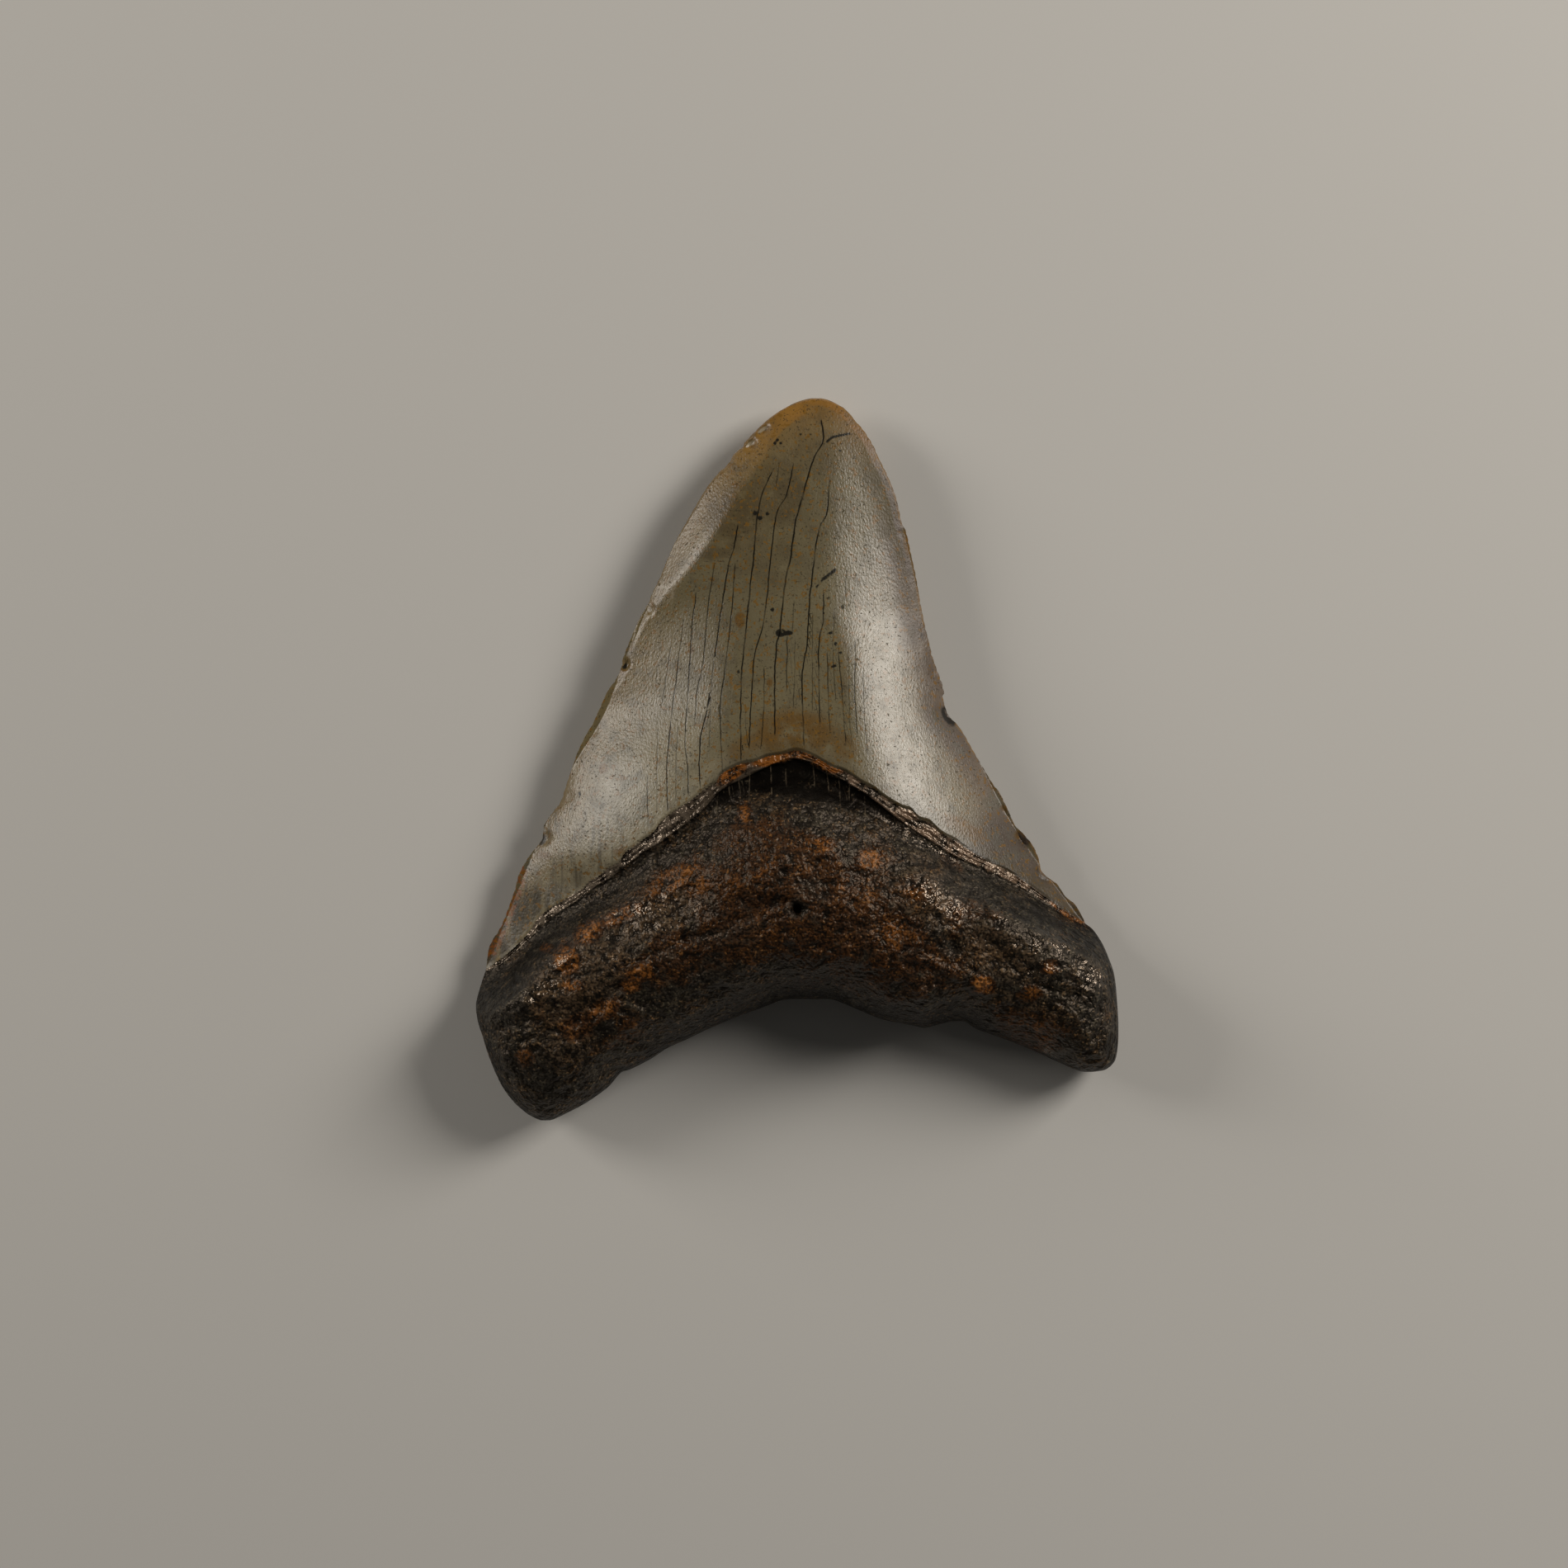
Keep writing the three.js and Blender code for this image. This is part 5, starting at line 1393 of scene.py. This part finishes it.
on_neck = (read.neck, 0.2, 0.8)
ROOT_LAYERS = [  # colour, amount, masks: socket, its value for nothing and for all
    ("#14110d", 0.8, [(blotch, 0.56, 0.42)]),  # black blotches
    ("#544c3e", 0.6, [(speckle, 0.48, 0.64)]),  # grey-brown bone
    ("#4c371f", 0.6, [(iron, 0.47, 0.62), (speckle, 0.36, 0.58)]),  # brown, where there is iron
    ("#66503a", 0.6, [(read.tan, 0.1, 0.9), (speckle, 0.38, 0.56)]),  # tan fields
    ("#482a12", 0.8, [(rusty, 0.8, 1.1), (speckle, 0.26, 0.5), (read.tan, 1.4, 0.2)]),  # dark rust
    ("#7d4b1c", 0.9, [(rusty, 1.15, 1.5), (speckle, 0.3, 0.52)]),  # bright rust
    ("#b0733a", 0.7, [(rusty, 1.25, 1.7), (lumps, 0.46, 0.6)]),  # rust paler on the lumps' tops: partly wear, partly painted highlight
    ("#96693a", 0.6, [(spark, 0.59, 0.69), (iron, 0.4, 0.52)]),  # rusty sparks
    ("#34322d", 0.75, [(read.soot, 0.1, 0.8), (speckle, 0.7, 0.5)]),  # sooty grey, with painted shade in pits, creases and along the foot
    ("#77705c", 0.4, [(spark, 0.6, 0.68), (rusty, 1.0, 0.8)]),  # grey sparks
    ("#080706", 0.75, [(grain, 0.53, 0.42)]),  # black between the grains: partly manganese, partly painted shade in the low spots
    ("#0a0806", 0.8, [(lumps, 0.46, 0.34)]),  # black in the hollows: partly manganese, partly painted shade
    ("#0b0a08", 0.75, [(read.steep, 0.2, 0.9), (speckle, 0.62, 0.44)]),  # painted shade on the steep sides
    ("#060504", 0.97, [(read.bourlette, 0.1, 0.5), (speckle, 0.72, 0.6)]),  # the black bourlette
    ("#4a4035", 0.9, [on_neck]),  # neck: dark brown
    ("#7d7061", 0.7, [on_neck, (where_x, -0.01, -0.02), (lumps, 0.42, 0.54)]),  # its grey left part, lighter on the lumps: partly grey, partly painted glints
    ("#7a6350", 0.8, [on_neck, (where_x, 0.0, 0.008), (lumps, 0.38, 0.56)]),  # its tan right part
    ("#8a5016", 0.9, [on_neck, (read.rust, 0.1, 0.8), (speckle, 0.32, 0.52)]),  # its rust
    ("#0b0806", 0.9, [on_neck, (speckle, 0.5, 0.4)]),  # its dark gaps
]
colour = stained(tree, "#312c25", ROOT_LAYERS)
print("root colour in", len(ROOT_LAYERS), "layers")

# %% [markdown]
# Polish goes with iron: the rusty grains were worn smooth and shine, the black hollows between
# them don't. The fine veins under the neck stand out by a hair, paler than the bone around them.

# %% Root: veins, gloss and grain
VEIN_WOBBLE, VEIN_HALF_WIDTH = 0.18, 0.12  # millimetres

wobble = {"Value": speckle, "To Min": -VEIN_WOBBLE, "To Max": VEIN_WOBBLE}
distance = distance_from_line(tree, read.vein_offset, add(tree, "MapRange", wobble))
near_line = {"Value": distance, "From Min": VEIN_HALF_WIDTH, "From Max": 0.02}
line = add(tree, "MapRange", near_line, interpolation_type=EASED)
vein = add(tree, "Math", {0: line, 1: read.vein_strength}, operation="MULTIPLY", use_clamp=True)
vein = add(tree, "MapRange", {"Value": speckle, "From Min": 0.4, "From Max": 0.6, "To Max": vein})
veined = {"Factor": vein, "A": colour, "B": hex_colour("#6f6250")}

DENTINE_IOR = 1.52
roughness, shine = (
    add(tree, "MapRange", {
        "Value": polish, "From Min": 0.1, "From Max": 0.9, "To Min": unpolished, "To Max": polished,
    })
    for unpolished, polished in ((0.4, 0.19), (0.34, 0.95))
)
matt = add(tree, "Math", {0: read.bourlette, 1: read.steep}, operation="MAXIMUM")
matt_part = add(tree, "MapRange", {"Value": matt, "To Min": 1.0, "To Max": 0.3})
shine = add(tree, "Math", {0: shine, 1: matt_part}, operation="MULTIPLY")

ROOT_HEIGHTS = [  # millimetres
    (grain, 0.12), (spark, 0.07), (cells, 0.1), (lumps, 0.6), (wrinkle, 0.25),
]
rough_part = add(tree, "MapRange", {"Value": read.bourlette, "To Min": 1.0, "To Max": 0.25})
height = add(
    tree, "Math", {0: piled_up(tree, ROOT_HEIGHTS), 1: rough_part}, operation="MULTIPLY",
)
height = add(tree, "Math", {0: vein, 1: 0.05, 2: height}, operation="MULTIPLY_ADD")
feed(tree, surface, {
    "Base Color": add(tree, "Mix", veined, data_type="RGBA"),
    "Roughness": roughness,
    "IOR": DENTINE_IOR,
    "Specular IOR Level": shine,
    "Specular Tint": hex_colour("#ffe9d2"),
    "Normal": add(tree, "Bump", {"Height": height, "Distance": BUMP_UNIT, "Strength": 1.0}),
})
print("root grain in", len(ROOT_HEIGHTS), "heights")

# %% [markdown]
# The rows of the grid say which faces are enamel. The border runs along the foot of the little
# ledge under the enamel, where the two tissues meet on the real tooth.

# %% Give each face its material
FIRST_ROOT_ROW = CROWN_ROWS + 1.4

mesh.materials.append(enamel)
mesh.materials.append(bone)
corner_rows = grid_rows[np.array([polygon.vertices[:] for polygon in mesh.polygons])]
is_root = corner_rows.mean(axis=1) > FIRST_ROOT_ROW
mesh.polygons.foreach_set("material_index", is_root.astype(np.int32))
mesh.update()
print("enamel faces:", np.sum(~is_root), "root faces:", np.sum(is_root))

# %% [markdown]
# ## Camera
# The picture was taken straight down with a long lens. The lens length is worked out so that one
# pixel is one pixel of the picture at the height of the cutting edges.

# %% Camera
CAMERA_HEIGHT = 1.1
CAMERA_SENSOR = 36.0
FOCUS_HEIGHT = 0.0045
picture_width = PICTURE_PIXELS * MM_PER_PIXEL * 0.001
picture_centre = to_mm((PICTURE_PIXELS / 2, PICTURE_PIXELS / 2)) * 0.001
bpy.ops.object.camera_add(location=(*picture_centre, CAMERA_HEIGHT), rotation=(0, 0, 0))
camera = bpy.context.object
camera.data.sensor_width = CAMERA_SENSOR
camera.data.lens = CAMERA_SENSOR * (CAMERA_HEIGHT - FOCUS_HEIGHT) / picture_width
bpy.context.scene.camera = camera
print("lens %.0f mm, picture %.1f mm wide" % (camera.data.lens, picture_width * 1000))

# %% [markdown]
# ## Lights
# Two soft boxes stand low at the upper right and upper left, so the crown's flat middle stays dim
# while its shoulders shine. A faint pale world fills the shadows.

# %% Lights
LAMP_COLOUR = "#fff9f1"
WORLD_COLOUR, WORLD_STRENGTH = "#f2eee8", 0.04
LIGHTS = [  # name, direction from the tooth, distance, size, radiance
    ("right_softbox", (0.74, 0.42, 0.55), 0.8, (0.30, 0.36), 12.0),
    ("left_softbox", (-0.85, 0.36, 0.40), 0.8, (0.28, 0.36), 7.4),
]
for name, direction, reach, (width, height), radiance in LIGHTS:
    direction = Vector(direction).normalized()
    turn = direction.to_track_quat("Z", "Y").to_euler()
    bpy.ops.object.light_add(type="AREA", location=direction * reach, rotation=turn)
    light = bpy.context.object
    light.name = name
    light.data.shape = "RECTANGLE"
    light.data.size = width
    light.data.size_y = height
    light.data.energy = radiance * math.pi * width * height
    light.data.color = hex_colour(LAMP_COLOUR)[:3]

world = bpy.data.worlds.new("studio")
bpy.context.scene.world = world
world.use_nodes = True
background = {"Color": hex_colour(WORLD_COLOUR), "Strength": WORLD_STRENGTH}
feed(world.node_tree, world.node_tree.nodes["Background"], background)
bpy.context.scene.view_settings.view_transform = "Standard"
print("lights:", [name for name, *_ in LIGHTS])

# %% [markdown]
# ## Floor
# The tooth lies on matt pale paint. One big plane is enough, because nothing of it shows but the
# colour, the tooth's shadow and a little light that it throws back under the root's steep sides.

# %% Floor
FLOOR_SIZE = 3.0
bpy.ops.object.select_all(action="DESELECT")
bpy.ops.mesh.primitive_plane_add(size=FLOOR_SIZE, location=(0, 0, 0))
floor = bpy.context.object
floor.name = "floor"
paint, tree, surface, *_ = new_material("pale_matt_floor")
feed(tree, surface, {"Base Color": hex_colour("#dedcd7"), "Roughness": 0.85})
floor.data.materials.append(paint)
print("floor:", FLOOR_SIZE, "m square")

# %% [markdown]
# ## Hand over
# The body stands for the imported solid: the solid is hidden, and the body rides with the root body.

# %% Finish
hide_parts("tooth")
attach(tooth, "root")
